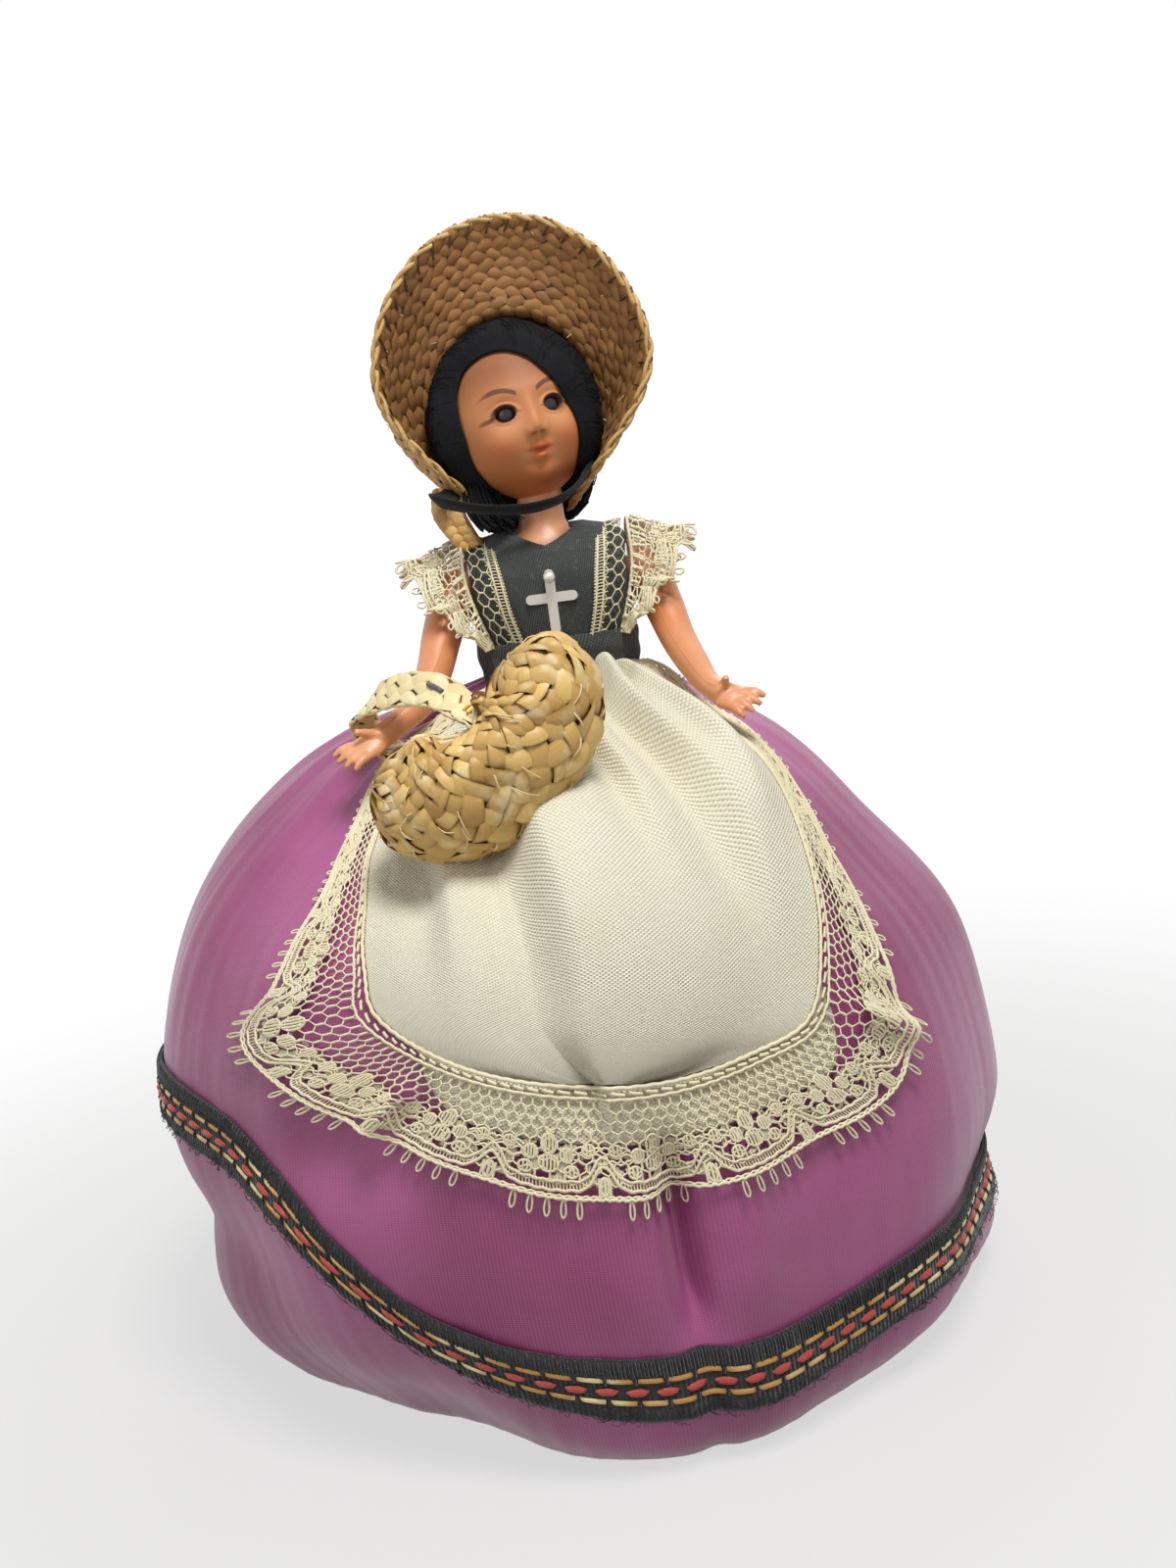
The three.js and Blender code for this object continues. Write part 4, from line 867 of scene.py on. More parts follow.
def wavy_cord(x, way, start, step, level, sway, count):
    """A short cord that wavers as it runs out sideways from a flower."""
    return [(x + way * (start + step * i), level + sway * math.sin(i * 1.3 + level)) for i in range(count)]


def tape_drop(x, step):
    """The looped tape lies low over each group of picots and arches up between groups."""
    aside = abs((x % step) - step / 2)
    return 13.6 - 3.4 * hump(aside, step / 2, 1.7) + 0.3 * hump(aside, 0, 3)


def edge_drop(x, step):
    aside = abs((x % step) - step / 2)
    return 15.2 + 0.35 * hump(aside, 0, 5)


def lace_motifs(length, add):
    """Flowers, wavy cords, the looped tape and the picots of one lace, repeated along it."""
    count = round(length / LACE_REPEAT)
    step = length / count
    for n in range(count):
        x = (n + 0.5) * step
        tally(add, x, 8.2, 1.9, 2.6, 5)
        tally(add, x, 10.9, 2.4, 2.2, 6)
        for side in (-1, 1):
            tally(add, x + side * 2.4, 9.6, 1.6, 1.8, 5)
            tally(add, x + side * 3.0, 11.8, 1.6, 1.5, 4)
            tally(add, x + side * 5.4, 8.7, 1.5, 1.5, 4)
            tally(add, x + side * 7.3, 13.6, 1.0, 2.4, 3)
            for level in (8.6, 9.5, 10.4):
                add(wavy_cord(x, side, 3.4, 0.5, level, 0.32, 9), 0.17)
            add([(x + side * 8, 12.4), (x + side * 8, 15)], 0.2)
        for k in (-2, -1, 0, 1, 2):
            px = x + k * PICOT_PITCH
            loop_stitch(add, px, edge_drop(px, step), 0.74, 2.75, 0.17)
    places = [i * LACE_CORD_STEP for i in range(int(length / LACE_CORD_STEP))]
    for shift in (-0.65, 0.6):
        add([(x, tape_drop(x, step) + shift + 0.1 * math.sin(i * 1.5)) for i, x in enumerate(places)], 0.25)
    for x in places:
        y = tape_drop(x, step)
        add([(x, y - 0.6), (x + 0.1, y + 0.55)], 0.12)
    # the double cord that the picots hang from
    for above, sway, phase, radius in ((0, 0.13, 0, 0.3), (0.36, 0.12, 2, 0.2)):
        points = []
        for i, x in enumerate(places):
            points.append((x, edge_drop(x, step) - above + sway * math.sin(i * 2.4 + phase)))
        add(points, radius)


def make_apron_lace():
    length, place = lace_mapping()
    runs = []

    def add(points, radius, lift=0.0):
        runs.append([(place(x, y, lift + 0.12 + radius * 0.6), radius * MM) for x, y in points])

    net_runs(length, 1.9, 13.6, add)
    lace_motifs(length, add)
    seam_step = 0.7
    for level, radius in ((0.2, 0.34), (1.7, 0.24)):
        count = int(length / seam_step)
        add([(i * seam_step, level + 0.06 * math.sin(i * 1.7)) for i in range(count)], radius, 0.2)
    stitch = 2.6
    for i in range(int(length / stitch)):
        add([(i * stitch, 0.86), (i * stitch + 0.7, 0.98), (i * stitch + 1.9, 1.12)], 0.26, 0.2)
    cords = threads("apron_lace_cords", runs, yarn_finish(), "body")
    bm = grid(lambda u, v: place(u * length, v * 15.2, 0), 400, 26, (length, 15.2))
    ground = ground_finish("apron_lace_ground", 7.6, 14.0)
    net = piece("apron_lace_net", bm, ground, "body", ["apron_lace"])


# The body's own frames: its axis, and the tilted head and the upright hat round the head's middle

BODY_X = 6.5
HEAD_TURNS = tuple(math.radians(a) for a in (-6, -7, 13))
HEAD_POSE = Euler(HEAD_TURNS, "XYZ").to_matrix()
HEAD_MIDDLE = Vector((BODY_X, 0, 146.2)) + HEAD_POSE @ Vector((0, 0, 14.2))
HEAD_SIZE = Vector((12, 12.6, 15.2))


def on_body(p):
    return Vector((p[0] + BODY_X, p[1], p[2])) * MM


def in_head(p):
    return (HEAD_MIDDLE + HEAD_POSE @ p) * MM


def by_hat(p):
    return (HEAD_MIDDLE + p) * MM


def out_of_head(p):
    """The way out of the head at p, from its middle."""
    return Vector((p.x / HEAD_SIZE.x, p.y / HEAD_SIZE.y, p.z / HEAD_SIZE.z)).normalized()


def off(surface, u, v, lift, step=2e-3):
    """A place lift millimetres off surface(u, v), along its normal."""
    along = surface(u + step, v) - surface(u - step, v)
    down = surface(u, v + step) - surface(u, v - step)
    return surface(u, v) + along.cross(down).normalized() * lift


# Head: the face is a shell with two openings, and the eyeballs roll behind them

EYE_X = 4.25
EYE_RADIUS = 2.7
EYE_OPENING = (1.85, 1.32)
EYE_DROP = -0.35  # the openings sit this far below the eyeballs' middles
SOCKET_DEPTH = 0.75
EYE_LEAN = 0.75 * math.asin(EYE_X / HEAD_SIZE.x)


def face_point(azimuth, height):
    across = math.cos(height)
    p = Vector((
        HEAD_SIZE.x * across * math.sin(azimuth),
        -HEAD_SIZE.y * across * math.cos(azimuth),
        HEAD_SIZE.z * math.sin(height),
    ))
    x, y, z = p

    def pair(middle, width):
        return hump(x, middle, width) + hump(x, -middle, width)

    front = smoothstep(-y, 2, 9)
    nose = 1.6 * hump(x, 0, 1.4) * hump(z, -3.4, 1.9) + 0.65 * hump(x, 0, 1.0) * hump(z, -0.6, 2.4)
    nose += 0.45 * pair(1.25, 0.62) * hump(z, -4.1, 0.9) - 0.35 * pair(0.7, 0.35) * hump(z, -4.9, 0.3)
    socket = SOCKET_DEPTH * pair(EYE_X, 2.2) * hump(z, 0, 1.7)
    brow = 0.35 * pair(3.6, 3) * hump(z, 3, 1.6)
    cheek = 0.95 * pair(5.8, 3.2) * hump(z, -5.2, 3.4)
    arch = 0.12 * math.cos(x * 1.5)
    mouth = hump(x, 0, 1.5)
    lips = 0.85 * mouth * (hump(z, -6.62 + arch, 0.62) + 1.1 * mouth * hump(z, -8.05, 0.66))
    lips -= 0.32 * hump(x, 0, 1.7) * hump(z, -7.32 + 0.1 * x * x / 4, 0.26)
    lips -= 0.22 * hump(x, 0, 0.5) * hump(z, -5.5, 0.7)
    chin = 1.05 * hump(x, 0, 3.0) * hump(z, -11.2, 2.4) - 0.25 * hump(x, 0, 2.6) * hump(z, -9.3, 0.8)
    throat = -1.2 * hump(z, -15, 3.4) * smoothstep(y, -6, 4)
    out = front * (nose - socket + brow + cheek + lips + chin) + throat
    return p + out_of_head(p) * out


def eye_centre(side):
    surface = HEAD_SIZE.y * math.sqrt(1 - (EYE_X / HEAD_SIZE.x) ** 2) - SOCKET_DEPTH
    depth = EYE_RADIUS + 0.25
    return Vector((side * (EYE_X - depth * math.sin(EYE_LEAN)), depth * math.cos(EYE_LEAN) - surface, 0))


def open_eyes(p):
    """Draws the shell round both openings: a crisp rim, and inside it a wall that goes in past the ball."""
    for side in (-1, 1):
        ahead = Vector((side * math.sin(EYE_LEAN), -math.cos(EYE_LEAN), 0))
        aside = Vector((math.cos(EYE_LEAN), side * math.sin(EYE_LEAN), 0))
        centre = eye_centre(side) + Vector((0, 0, EYE_DROP))
        q = p - centre
        if q.dot(ahead) < 0:
            continue
        x, z = q.dot(aside), q.z
        distance = math.hypot(x / EYE_OPENING[0], z / EYE_OPENING[1])
        if distance < 1.9:
            lid = 0.2 * hump(distance, 1.22, 0.16) + (0.18 * hump(distance, 1.3, 0.2) if z > 0 else 0)
            p = p + ahead * lid
        if 0.9 < distance < 1.08:
            pull = 1 / distance
            p = p + aside * x * (pull - 1) + Vector((0, 0, z * (pull - 1)))
        if distance < 0.9:
            p = p - ahead * 2.1
    return p


def face_mapping(finish):
    """Object coordinates turned into the head's own millimetres."""
    place = finish.node("TexCoord", output="Object")
    inputs = {"Vector": place, "Location": HEAD_MIDDLE * MM, "Rotation": HEAD_TURNS, "Scale": (MM, MM, MM)}
    return finish.node("Mapping", {"vector_type": "TEXTURE"}, inputs)


def spot(finish, x, z, middle_x, middle_z, wide, high, soft=0.3, lean=0.0):
    """1 inside an oval on the face, falling to 0 over a soft edge."""
    dx, dz = x - middle_x, z - middle_z
    a = (dx * math.cos(lean) + dz * math.sin(lean)) * (1 / wide)
    b = (dz * math.cos(lean) - dx * math.sin(lean)) * (1 / high)
    return 1 - finish.level((a * a + b * b) ** 0.5, 1 - soft, 1 + soft)


def face_finish():
    """Orange-tan moulded face, painted with brows, lashes, lips and a blush; painted shade darkens the
    forehead and the nostrils, and a painted highlight lightens each cheek.
    """
    finish = Finish(
        "painted_face", roughness=0.55, Coat_Weight=0.04, Coat_Roughness=0.4, Specular_IOR_Level=0.28
    )
    finish.set("Subsurface Weight", 0.0)
    place = face_mapping(finish)
    x, z = finish.axis(place, 0), finish.axis(place, 2)
    size = finish.maths("ABSOLUTE", x)
    blotch = finish.noise(finish.place(), 120, 3)
    skin = finish.mix(colour(196, 126, 80), colour(216, 146, 98), blotch)
    # painted shade: the forehead darkens upwards, as in the shadow of the hat's brim
    skin = finish.mix(skin, colour(128, 78, 50), finish.level(z, 0.6, 8.0) * 0.75)
    skin = finish.mix(skin, colour(200, 106, 56), finish.level(z, -7.5, -11.5) * 0.65)
    skin = finish.mix(skin, colour(214, 118, 72), spot(finish, size, z, 6.4, -5.4, 3.2, 3.0, 0.7) * 0.55)
    # painted highlight: a pale oval on each cheek below the eye
    skin = finish.mix(skin, colour(236, 176, 126), spot(finish, size, z, 4.4, -3.2, 2.4, 1.6, 0.8) * 0.4)
    lips = spot(finish, size, z, 0.75, -6.7, 1.15, 0.6, 0.35, -0.16)
    lips = finish.maths("MAXIMUM", lips, spot(finish, x, z, 0, -7.95, 1.35, 0.72, 0.35))
    skin = finish.mix(skin, colour(198, 96, 44), lips * 0.8)
    parting = spot(finish, x, z, 0, -7.32, 1.6, 0.14, 0.6)
    skin = finish.mix(skin, colour(126, 58, 34), parting * 0.6)
    # painted shade in the nostril hollows
    skin = finish.mix(skin, colour(160, 86, 46), spot(finish, size, z, 0.75, -4.75, 0.5, 0.26, 0.6) * 0.8)
    arch = 3.75 - (size - 5.2) * (size - 5.2) * 0.1
    rise = finish.maths("ABSOLUTE", z - arch)
    taper = finish.level(size, 9.2, 5.2) * 0.34 + 0.08
    brow = finish.level(rise - taper, 0.16, -0.1) * finish.level(size, 1.5, 2.1)
    brow = brow * finish.level(size, 9.0, 6.0)
    skin = finish.mix(skin, colour(74, 48, 36), brow * 0.82)
    dx = (size - (EYE_X + 0.3)) * (1 / 2.15)
    dz = (z - EYE_DROP) * (1 / 1.62)
    ring = (dx * dx + dz * dz) ** 0.5
    lashes = (1 - finish.level(ring, 0.9, 1.16)) * finish.level(z, -1.2, 0.6)
    skin = finish.mix(skin, colour(44, 26, 24), lashes)
    lower = (1 - finish.level(ring, 0.82, 1.08)) * 0.7
    skin = finish.mix(skin, colour(84, 48, 36), lower)
    flick = spot(finish, size, z, 7.4, -0.75, 1.35, 0.42, 0.45, -0.12)
    skin = finish.mix(skin, colour(70, 40, 32), flick * 0.75)
    finish.set("Base Color", skin)
    finish.set("Roughness", 0.5 + blotch * 0.16)
    return finish.bump(finish.noise(finish.place(), 500, 2), 0.12, 0.05 * MM)


def make_head():
    def place(u, v):
        turn = around(u)
        azimuth = turn - 0.42 * math.sin(turn)
        rise = v * 2 - 1
        height = (0.62 * rise + 0.38 * rise**3) * math.pi / 2 - 0.06 * (1 - rise * rise)
        return in_head(open_eyes(face_point(azimuth, height)))

    bm = grid(place, 260, 200, closed=True, flip=False)
    piece("doll_head", bm, face_finish(), "head", ["head_shell"])


def eye_finish():
    """Dark violet-brown glaze, with a painted lid and a lash line on the part that rolls down, and painted
    shade of the lid over the top of the iris.
    """
    finish = Finish("eye_glaze", roughness=0.35, Coat_Weight=0.22, Coat_Roughness=0.1)
    place = face_mapping(finish)
    x, z = finish.maths("ABSOLUTE", finish.axis(place, 0)), finish.axis(place, 2)
    middle = eye_centre(1).x + EYE_RADIUS * math.sin(EYE_LEAN) - 0.1
    dx, dz = x - middle, z - EYE_DROP
    ring = (dx * dx + dz * dz) ** 0.5
    streaks = finish.noise(finish.place(), 1400, 3)
    iris = finish.mix(colour(40, 26, 32), colour(64, 48, 58), streaks)
    iris = finish.mix(iris, colour(18, 11, 15), finish.level(ring, 0.85, 0.6))
    iris = finish.mix(iris, colour(40, 26, 30), finish.level(ring, 1.15, 1.5))
    # painted shade: the top of the iris is darker, as under the lid
    iris = finish.mix(iris, colour(34, 22, 26), finish.level(z, 0.1, 0.9) * 0.8)
    iris = finish.mix(iris, colour(28, 18, 18), finish.level(z, 1.0, 1.1))
    finish.set("Base Color", finish.mix(iris, colour(196, 124, 80), finish.level(z, 1.3, 1.36)))
    return finish.material


def make_eyes():
    glaze = eye_finish()
    for side, name in ((1, "left"), (-1, "right")):
        bm = bmesh.new()
        bmesh.ops.create_uvsphere(bm, u_segments=48, v_segments=32, radius=EYE_RADIUS)
        for vertex in bm.verts:
            vertex.co = in_head(vertex.co + eye_centre(side))
        piece(f"sleep_eye_{name}", bm, glaze, "eyes", [f"eye_{name}"])


# Wig: hair by its turn round the face (degrees from the top) and its reach from the face's middle

HAIRLINE = (
    (-180, 122), (-163, 114), (-150, 94), (-140, 82), (-132, 77), (-115, 73), (-100, 66), (-78, 65),
    (-68, 66), (-50, 63), (-37, 56), (-21, 48), (-4, 41), (13, 35), (42, 29), (70, 29), (94, 34),
    (109, 39), (121, 44), (131, 53), (142, 66), (152, 90), (163, 114), (180, 122),
)
HAIR = 2.0


def skull_point(turn, reach):
    across, ahead = math.sin(reach), math.cos(reach)
    x, y, z = across * math.sin(turn), ahead, across * math.cos(turn)
    return face_point(math.atan2(x, y), math.asin(clamp(z, -1, 1)))


def wig_point(u, v, lift=0.0):
    turn = around(u)
    start = math.radians(through(HAIRLINE, math.degrees(turn) * 0.9999))
    reach = start + (math.pi - start) * v
    rise = (reach - start) * 13
    full = HAIR + 1.9 * hump(math.degrees(turn), -92, 46) + 0.9 * hump(math.degrees(turn), 84, 36)
    thick = 0.3 + (full - 0.3) * smoothstep(rise, -0.4, 3.6)
    lumps = 0.35 * noise.noise(Vector((math.sin(turn) * 4, math.cos(turn) * 4, reach * 3)))
    strands = 0.1 * noise.noise(Vector((math.sin(turn) * 22, math.cos(turn) * 22, reach * 2.5)))
    p = skull_point(turn, reach)
    return p + out_of_head(p) * (thick + (lumps + strands) * smoothstep(rise, 0, 3) + lift)


FALL = ((-19.2, 6.2, 2.6, 6.0), (-17, 9.4, 3.9, 5.5), (-13, 11.8, 5.4, 4.6), (-6, 13.3, 8, 3), (0, 13, 9, 2))


def fall_point(u, v, lift=0.0):
    """The hair behind the neck: rings of z, half width, half depth and middle."""
    levels = [tuple(row[k] for row in FALL) for k in range(4)]
    share = v * (len(FALL) - 1)
    i = min(int(share), len(FALL) - 2)
    z, rx, ry, y = (lerp(level[i], level[i + 1], share - i) for level in levels)
    angle = u * math.tau
    lump = 0.5 * noise.noise(Vector((math.cos(angle) * 3, math.sin(angle) * 3, z / 6)))
    lump += 0.2 * math.sin(angle * 23)
    return Vector(((rx + lump + lift) * math.cos(angle), y + (ry + lump + lift) * math.sin(angle), z))


LOCK = tuple(Vector(p) for p in (
    (-10.4, -1.5, 151), (-10, -4.2, 146.5), (-8.6, -6.2, 143.4), (-6.8, -7, 141.6),
))


def hair_finish():
    finish = Finish("black_hair", roughness=0.8, Specular_IOR_Level=0.2)
    wisps = finish.noise(finish.place((1, 1, 0.3)), 900, 3)
    dust = finish.level(finish.noise(finish.place(), 700, 2), 0.68, 0.85)
    black = finish.mix(colour(2, 2, 4), colour(14, 14, 18), wisps)
    finish.set("Base Color", finish.mix(black, colour(60, 62, 70), dust * 0.15))
    return finish.bump(wisps, 0.8, 0.3 * MM)


def make_wig():
    hair = hair_finish()
    bm = grid(lambda u, v: in_head(wig_point(u, v)), 160, 60, closed=True)
    wig = piece("hair_cap", bm, hair, "head", ["wig"])
    thicken(wig, 0.25 * MM, -1)
    bm = grid(lambda u, v: in_head(fall_point(u, v)), 72, 24, closed=True, flip=False)
    close_ends(bm)
    piece("hair_fall", bm, hair, "head")

    rng = random.Random(5)
    runs = []
    for _ in range(1900):
        u, v = rng.random(), rng.random() ** 1.6 * 0.8
        swing = rng.uniform(-0.03, 0.03)
        lift = rng.uniform(0.02, 0.5)
        steps = []
        for k in range(5):
            arch = 0.02 + lift * math.sin(math.pi * (k + 0.6) / 5)
            steps.append((u + swing * k / 4, min(v + 0.05 * k, 0.98), arch))
        runs.append([(in_head(wig_point(a % 1, b, c)), 0.075 * MM) for a, b, c in steps])
    for _ in range(700):
        u, v = rng.random(), rng.uniform(0.16, 0.95)
        lift = rng.uniform(0.02, 0.4)
        steps = [(u + rng.uniform(-0.01, 0.01), max(v - 0.07 * k, 0), lift) for k in range(4)]
        runs.append([(in_head(fall_point(a, b, c)), 0.09 * MM) for a, b, c in steps])
    threads("hair_strands", runs, hair, "head")

    runs = []
    for _ in range(260):
        shift = Vector((rng.gauss(0, 1.0), rng.gauss(0, 0.8), rng.gauss(0, 0.5)))
        ends = rng.uniform(0.75, 1)
        steps = [catmull(LOCK, ends * k / 6) + shift * (0.8 + 0.5 * k / 6) for k in range(7)]
        runs.append([(on_body(p), 0.16 * MM) for p in steps])
    threads("hair_lock", runs, hair, "head")


# Straw: every visible length is a small bulged pad over a dark base


def straw_mesh():
    """An empty mesh, and the layer in which pad() notes each point's place on its straw."""
    bm = bmesh.new()
    return bm, bm.verts.layers.float_vector.new("straw")


def pad(bm, layer, place, reach, wide, lift, tone, columns=4, rows=3, droop=0.2):
    """One visible length of straw; place(a, b, h) takes millimetres or cells along, across and above."""
    made = bmesh.ops.create_grid(bm, x_segments=columns, y_segments=rows, size=1)
    for vertex in made["verts"]:
        a, b, _ = vertex.co
        high = lift * math.sqrt(max(0, 1 - 0.98 * a * a)) - droop * (0.45 * b * b + 0.55 * b**4)
        vertex.co = place(a * reach, b * wide * (1 - 0.12 * a**4), high)
        vertex[layer] = (a * reach, b, tone)
    middle = place(0, 0, 0)
    along, across, above = (place(*step) - middle for step in ((0.1, 0, 0), (0, 0.1, 0), (0, 0, 0.1)))
    if along.cross(across).dot(above) < 0:
        touching = {face for vertex in made["verts"] for face in vertex.link_faces}
        bmesh.ops.reverse_faces(bm, faces=list(touching))


def straw_finish(name, dark, light, bleached, roughness=0.5, scale=1.0):
    """Flat straw: fine lines along each length, a tone of its own, paler worn middles, and painted shade
    along each length's edges.
    """
    finish = Finish(name, roughness=roughness)
    straw = finish.node("Attribute", {"attribute_name": "straw"}, output="Vector")
    inputs = {"Vector": straw, "Scale": (0.5 * scale, 7 * scale, 9)}
    lines = finish.noise(finish.node("Mapping", None, inputs), 1.0, 3, 0.6)
    tone = finish.axis(straw, 2)
    shade = finish.mix(dark, light, tone * 0.7 + lines * 0.42)
    # painted shade: each length darkens towards its edges, as in the gaps between straws
    edge = finish.level(finish.maths("ABSOLUTE", finish.axis(straw, 1)), 0.7, 1.0)
    blotch = finish.level(finish.noise(finish.place(), 260, 3), 0.52, 0.7)
    shade = finish.mix(shade, bleached, blotch * 0.4)
    finish.set("Base Color", finish.mix(shade, tuple(0.5 * value for value in dark[:3]) + (1,), edge * 0.4))
    finish.set("Roughness", lines * 0.25 + (roughness - 0.1))
    return finish.bump(lines, 0.5, 0.12 * MM)


# Hat

STRAW = 1.1
CROWN_SIZE = Vector((15.2, 16.4, 18))
CROWN_EDGE_Y = (0.8, 9.6)
BRIM_MIDDLE = (0.5, 7.4)
BRIM_RADIUS = (24, 27)
BRIM_PINCH = (0.4, 0.38)  # on the doll's left and right
BRIM_ROLL = 3.0  # how far the lower right of the brim bulges before its rim turns in
BRIM_REACH = ((0, -1), (45, -3.5), (85, -6.5), (125, -7), (150, 2), (180, 10))
CROWN_SHARE = 0.5


def brim_rim(angle):
    folded = abs(math.degrees(math.atan2(math.sin(angle), math.cos(angle))))
    pinch = 1 - (BRIM_PINCH[0] if math.sin(angle) > 0 else BRIM_PINCH[1]) * smoothstep(folded, 84, 150)
    return Vector((
        BRIM_MIDDLE[0] + BRIM_RADIUS[0] * pinch * math.sin(angle),
        through(BRIM_REACH, folded),
        BRIM_MIDDLE[1] + BRIM_RADIUS[1] * math.cos(angle),
    ))


def crown_point(angle, share):
    top, bottom = CROWN_EDGE_Y
    edge = lerp(bottom, top, (1 + math.cos(angle)) / 2)
    fall = share * math.acos(edge / (CROWN_SIZE.y + STRAW / 2))
    return Vector((
        (CROWN_SIZE.x + STRAW / 2) * math.sin(fall) * math.sin(angle),
        (CROWN_SIZE.y + STRAW / 2) * math.cos(fall),
        (CROWN_SIZE.z + STRAW / 2) * math.sin(fall) * math.cos(angle),
    ))


def hat_point(u, v):
    """The middle of the straw from the back of the crown (0) to the rim (1), from the head's middle."""
    angle = u * math.tau
    if v < CROWN_SHARE:
        return crown_point(angle, v / CROWN_SHARE)
    out = (v - CROWN_SHARE) / (1 - CROWN_SHARE)
    p = crown_point(angle, 1).lerp(brim_rim(angle), out)
    p.y += math.sin(out * math.pi)
    degrees = math.degrees(math.atan2(math.sin(angle), math.cos(angle)))
    p.x -= BRIM_ROLL * hump(degrees, -116, 34) * math.sin(out * math.pi)
    return p


def hat_straw(bm, layer, level, side, rng, row_height, size_of, high):
    """One sewn row of plait, on the outside (1) or the inside (-1) of the hat."""
    ring = [hat_point(i / 40, level) for i in range(41)]
    length = sum((b - a).length for a, b in zip(ring, ring[1:]))
    count = max(5, round(length / size_of))
    for n in range(count):
        for column in (-1, 1):
            u0 = (n + 0.25 * column + rng.uniform(-0.06, 0.06)) / count
            u0 += 0.5 * (round(level * 97) % 2) / count
            meridian = (hat_point(u0, level + 0.01) - hat_point(u0, level - 0.01)).length / 0.02
            squeeze = min(1, meridian * row_height / 3.7)
            lean = math.radians(column * rng.uniform(30, 44))
            cos, sin = math.cos(lean), math.sin(lean)

            def place(a, b, h):
                x = a * cos - b * sin
                y = (a * sin + b * cos + column * 0.95 * size_of / 2.5) * squeeze
                lift = side * HAT_OUT * (0.3 + h)
                return by_hat(off(hat_point, u0 + x / length, level + y / meridian, lift))

            size = rng.uniform(0.9, 1.1) * size_of / 2.5
            bulge = high * rng.uniform(0.7, 1.2)
            pad(bm, layer, place, 1.55 * size, size, bulge, rng.random(), droop=0.24)


def outward_sign(surface, u, v, away):
    """Whether off() moves away from a point (1) or towards it (-1)."""
    return 1 if (off(surface, u, v, 1) - away).length > (surface(u, v) - away).length else -1


HAT_OUT = outward_sign(hat_point, 0.25, 0.3, Vector((0, 0, 0)))


def make_hat():
    base = Finish("hat_shadow", colour(92, 62, 34), 0.9)
    fibre = base.mottle(colour(66, 42, 22), colour(122, 86, 48), 900)
    bm = grid(lambda u, v: by_hat(hat_point(u, v)), 96, 40, closed=True)
    hat = piece("straw_hat", bm, base.bump(fibre, 0.6, 0.2 * MM), "head", ["hat"])
    thicken(hat, 0.5 * MM, 0)

    rng = random.Random(21)
    outside = straw_finish(
        "hat_straw", colour(176, 128, 66), colour(222, 178, 106), colour(240, 214, 150), scale=0.8
    )
    # the inside rows use a darker copy of the same straw: painted shade for the inside of the hat
    inside = straw_finish(
        "hat_straw_painted_shade", colour(126, 82, 40), colour(166, 116, 62), colour(184, 138, 84),
        scale=0.8, roughness=0.65,
    )
    row_height = 0.083
    for name, side, levels, size_of, high, finish in (
        ("hat_plait_outside", 1, [0.05 + row_height * k for k in range(12)], 2.5, 0.55, outside),
        ("hat_plait_inside", -1, [0.32 + 0.105 * k for k in range(7)], 3.1, 0.42, inside),
    ):
        bm, layer = straw_mesh()
        for level in levels:
            hat_straw(bm, layer, level, side, rng, row_height, size_of, high)
        if side == 1:
            for n in range(5):
                turn = n / 5

                def place(a, b, h):
                    return by_hat(off(hat_point, turn + a * 0.03, 0.03 + b * 0.02, HAT_OUT * (0.5 + h)))

                pad(bm, layer, place, 1.4, 1.0, 0.4, rng.random())
        piece(name, bm, finish, "head")

    make_hat_tail(outside)

    # the rim is a cord of two flat plies twisted together
    turns, steps = 20, 420
    runs = []
    for ply in (0, 1):
        run = []
        for k in range(steps):
            u = k / steps
            twist = math.tau * (turns * u + ply / 2)
            middle = hat_point(u, 0.995)
            out = (middle - hat_point(u, 0.97)).normalized()
            side = off(hat_point, u, 0.99, 1) - hat_point(u, 0.99)
            p = middle + out * (0.1 + 0.3 * math.cos(twist)) + side * 0.42 * math.sin(twist)
            run.append((by_hat(p), 0.44 * MM))
        runs.append(run)
    rim = Finish("rim_straw", roughness=0.55)
    fine = rim.mottle(colour(168, 118, 58), colour(226, 194, 128), 700, 3)
    threads("hat_rim", runs, rim.bump(fine, 0.7, 0.12 * MM), "head", sides=8, cyclic=True)

    # dark stitches over the rim, and stray pale fibres
    runs = []
    stitches = 42
    for n in range(stitches):
        u = (n + 0.5) / stitches
        side = off(hat_point, u, 0.95, 1) - hat_point(u, 0.95)
        steps = [(0.93, -0.75), (0.975, -0.8), (1.0, -0.35)]
        run = []
        for k, (v, h) in enumerate(steps):
            run.append((by_hat(hat_point(u + 0.004 * k, v) + side * h * HAT_OUT), 0.2 * MM))
        runs.append(run)
    threads("hat_stitches", runs, twill_thread(), "head")
    runs = []
    for _ in range(110):
        u, v = rng.random(), rng.uniform(0.3, 0.99)
        side = rng.choice((-1, 1))
        way = Vector((rng.uniform(-1, 1), rng.uniform(-0.4, 0.4), rng.uniform(-1, 1)))
        drift = way * rng.uniform(0.4, 1.4)
        start = off(hat_point, u, v, side * HAT_OUT)
        runs.append([(by_hat(start + drift * k / 2), 0.045 * MM) for k in (-1, 0, 1)])
    pale = Finish("straw_fibre", colour(238, 226, 190), 0.5)
    threads("hat_fibres", runs, pale.material, "head")


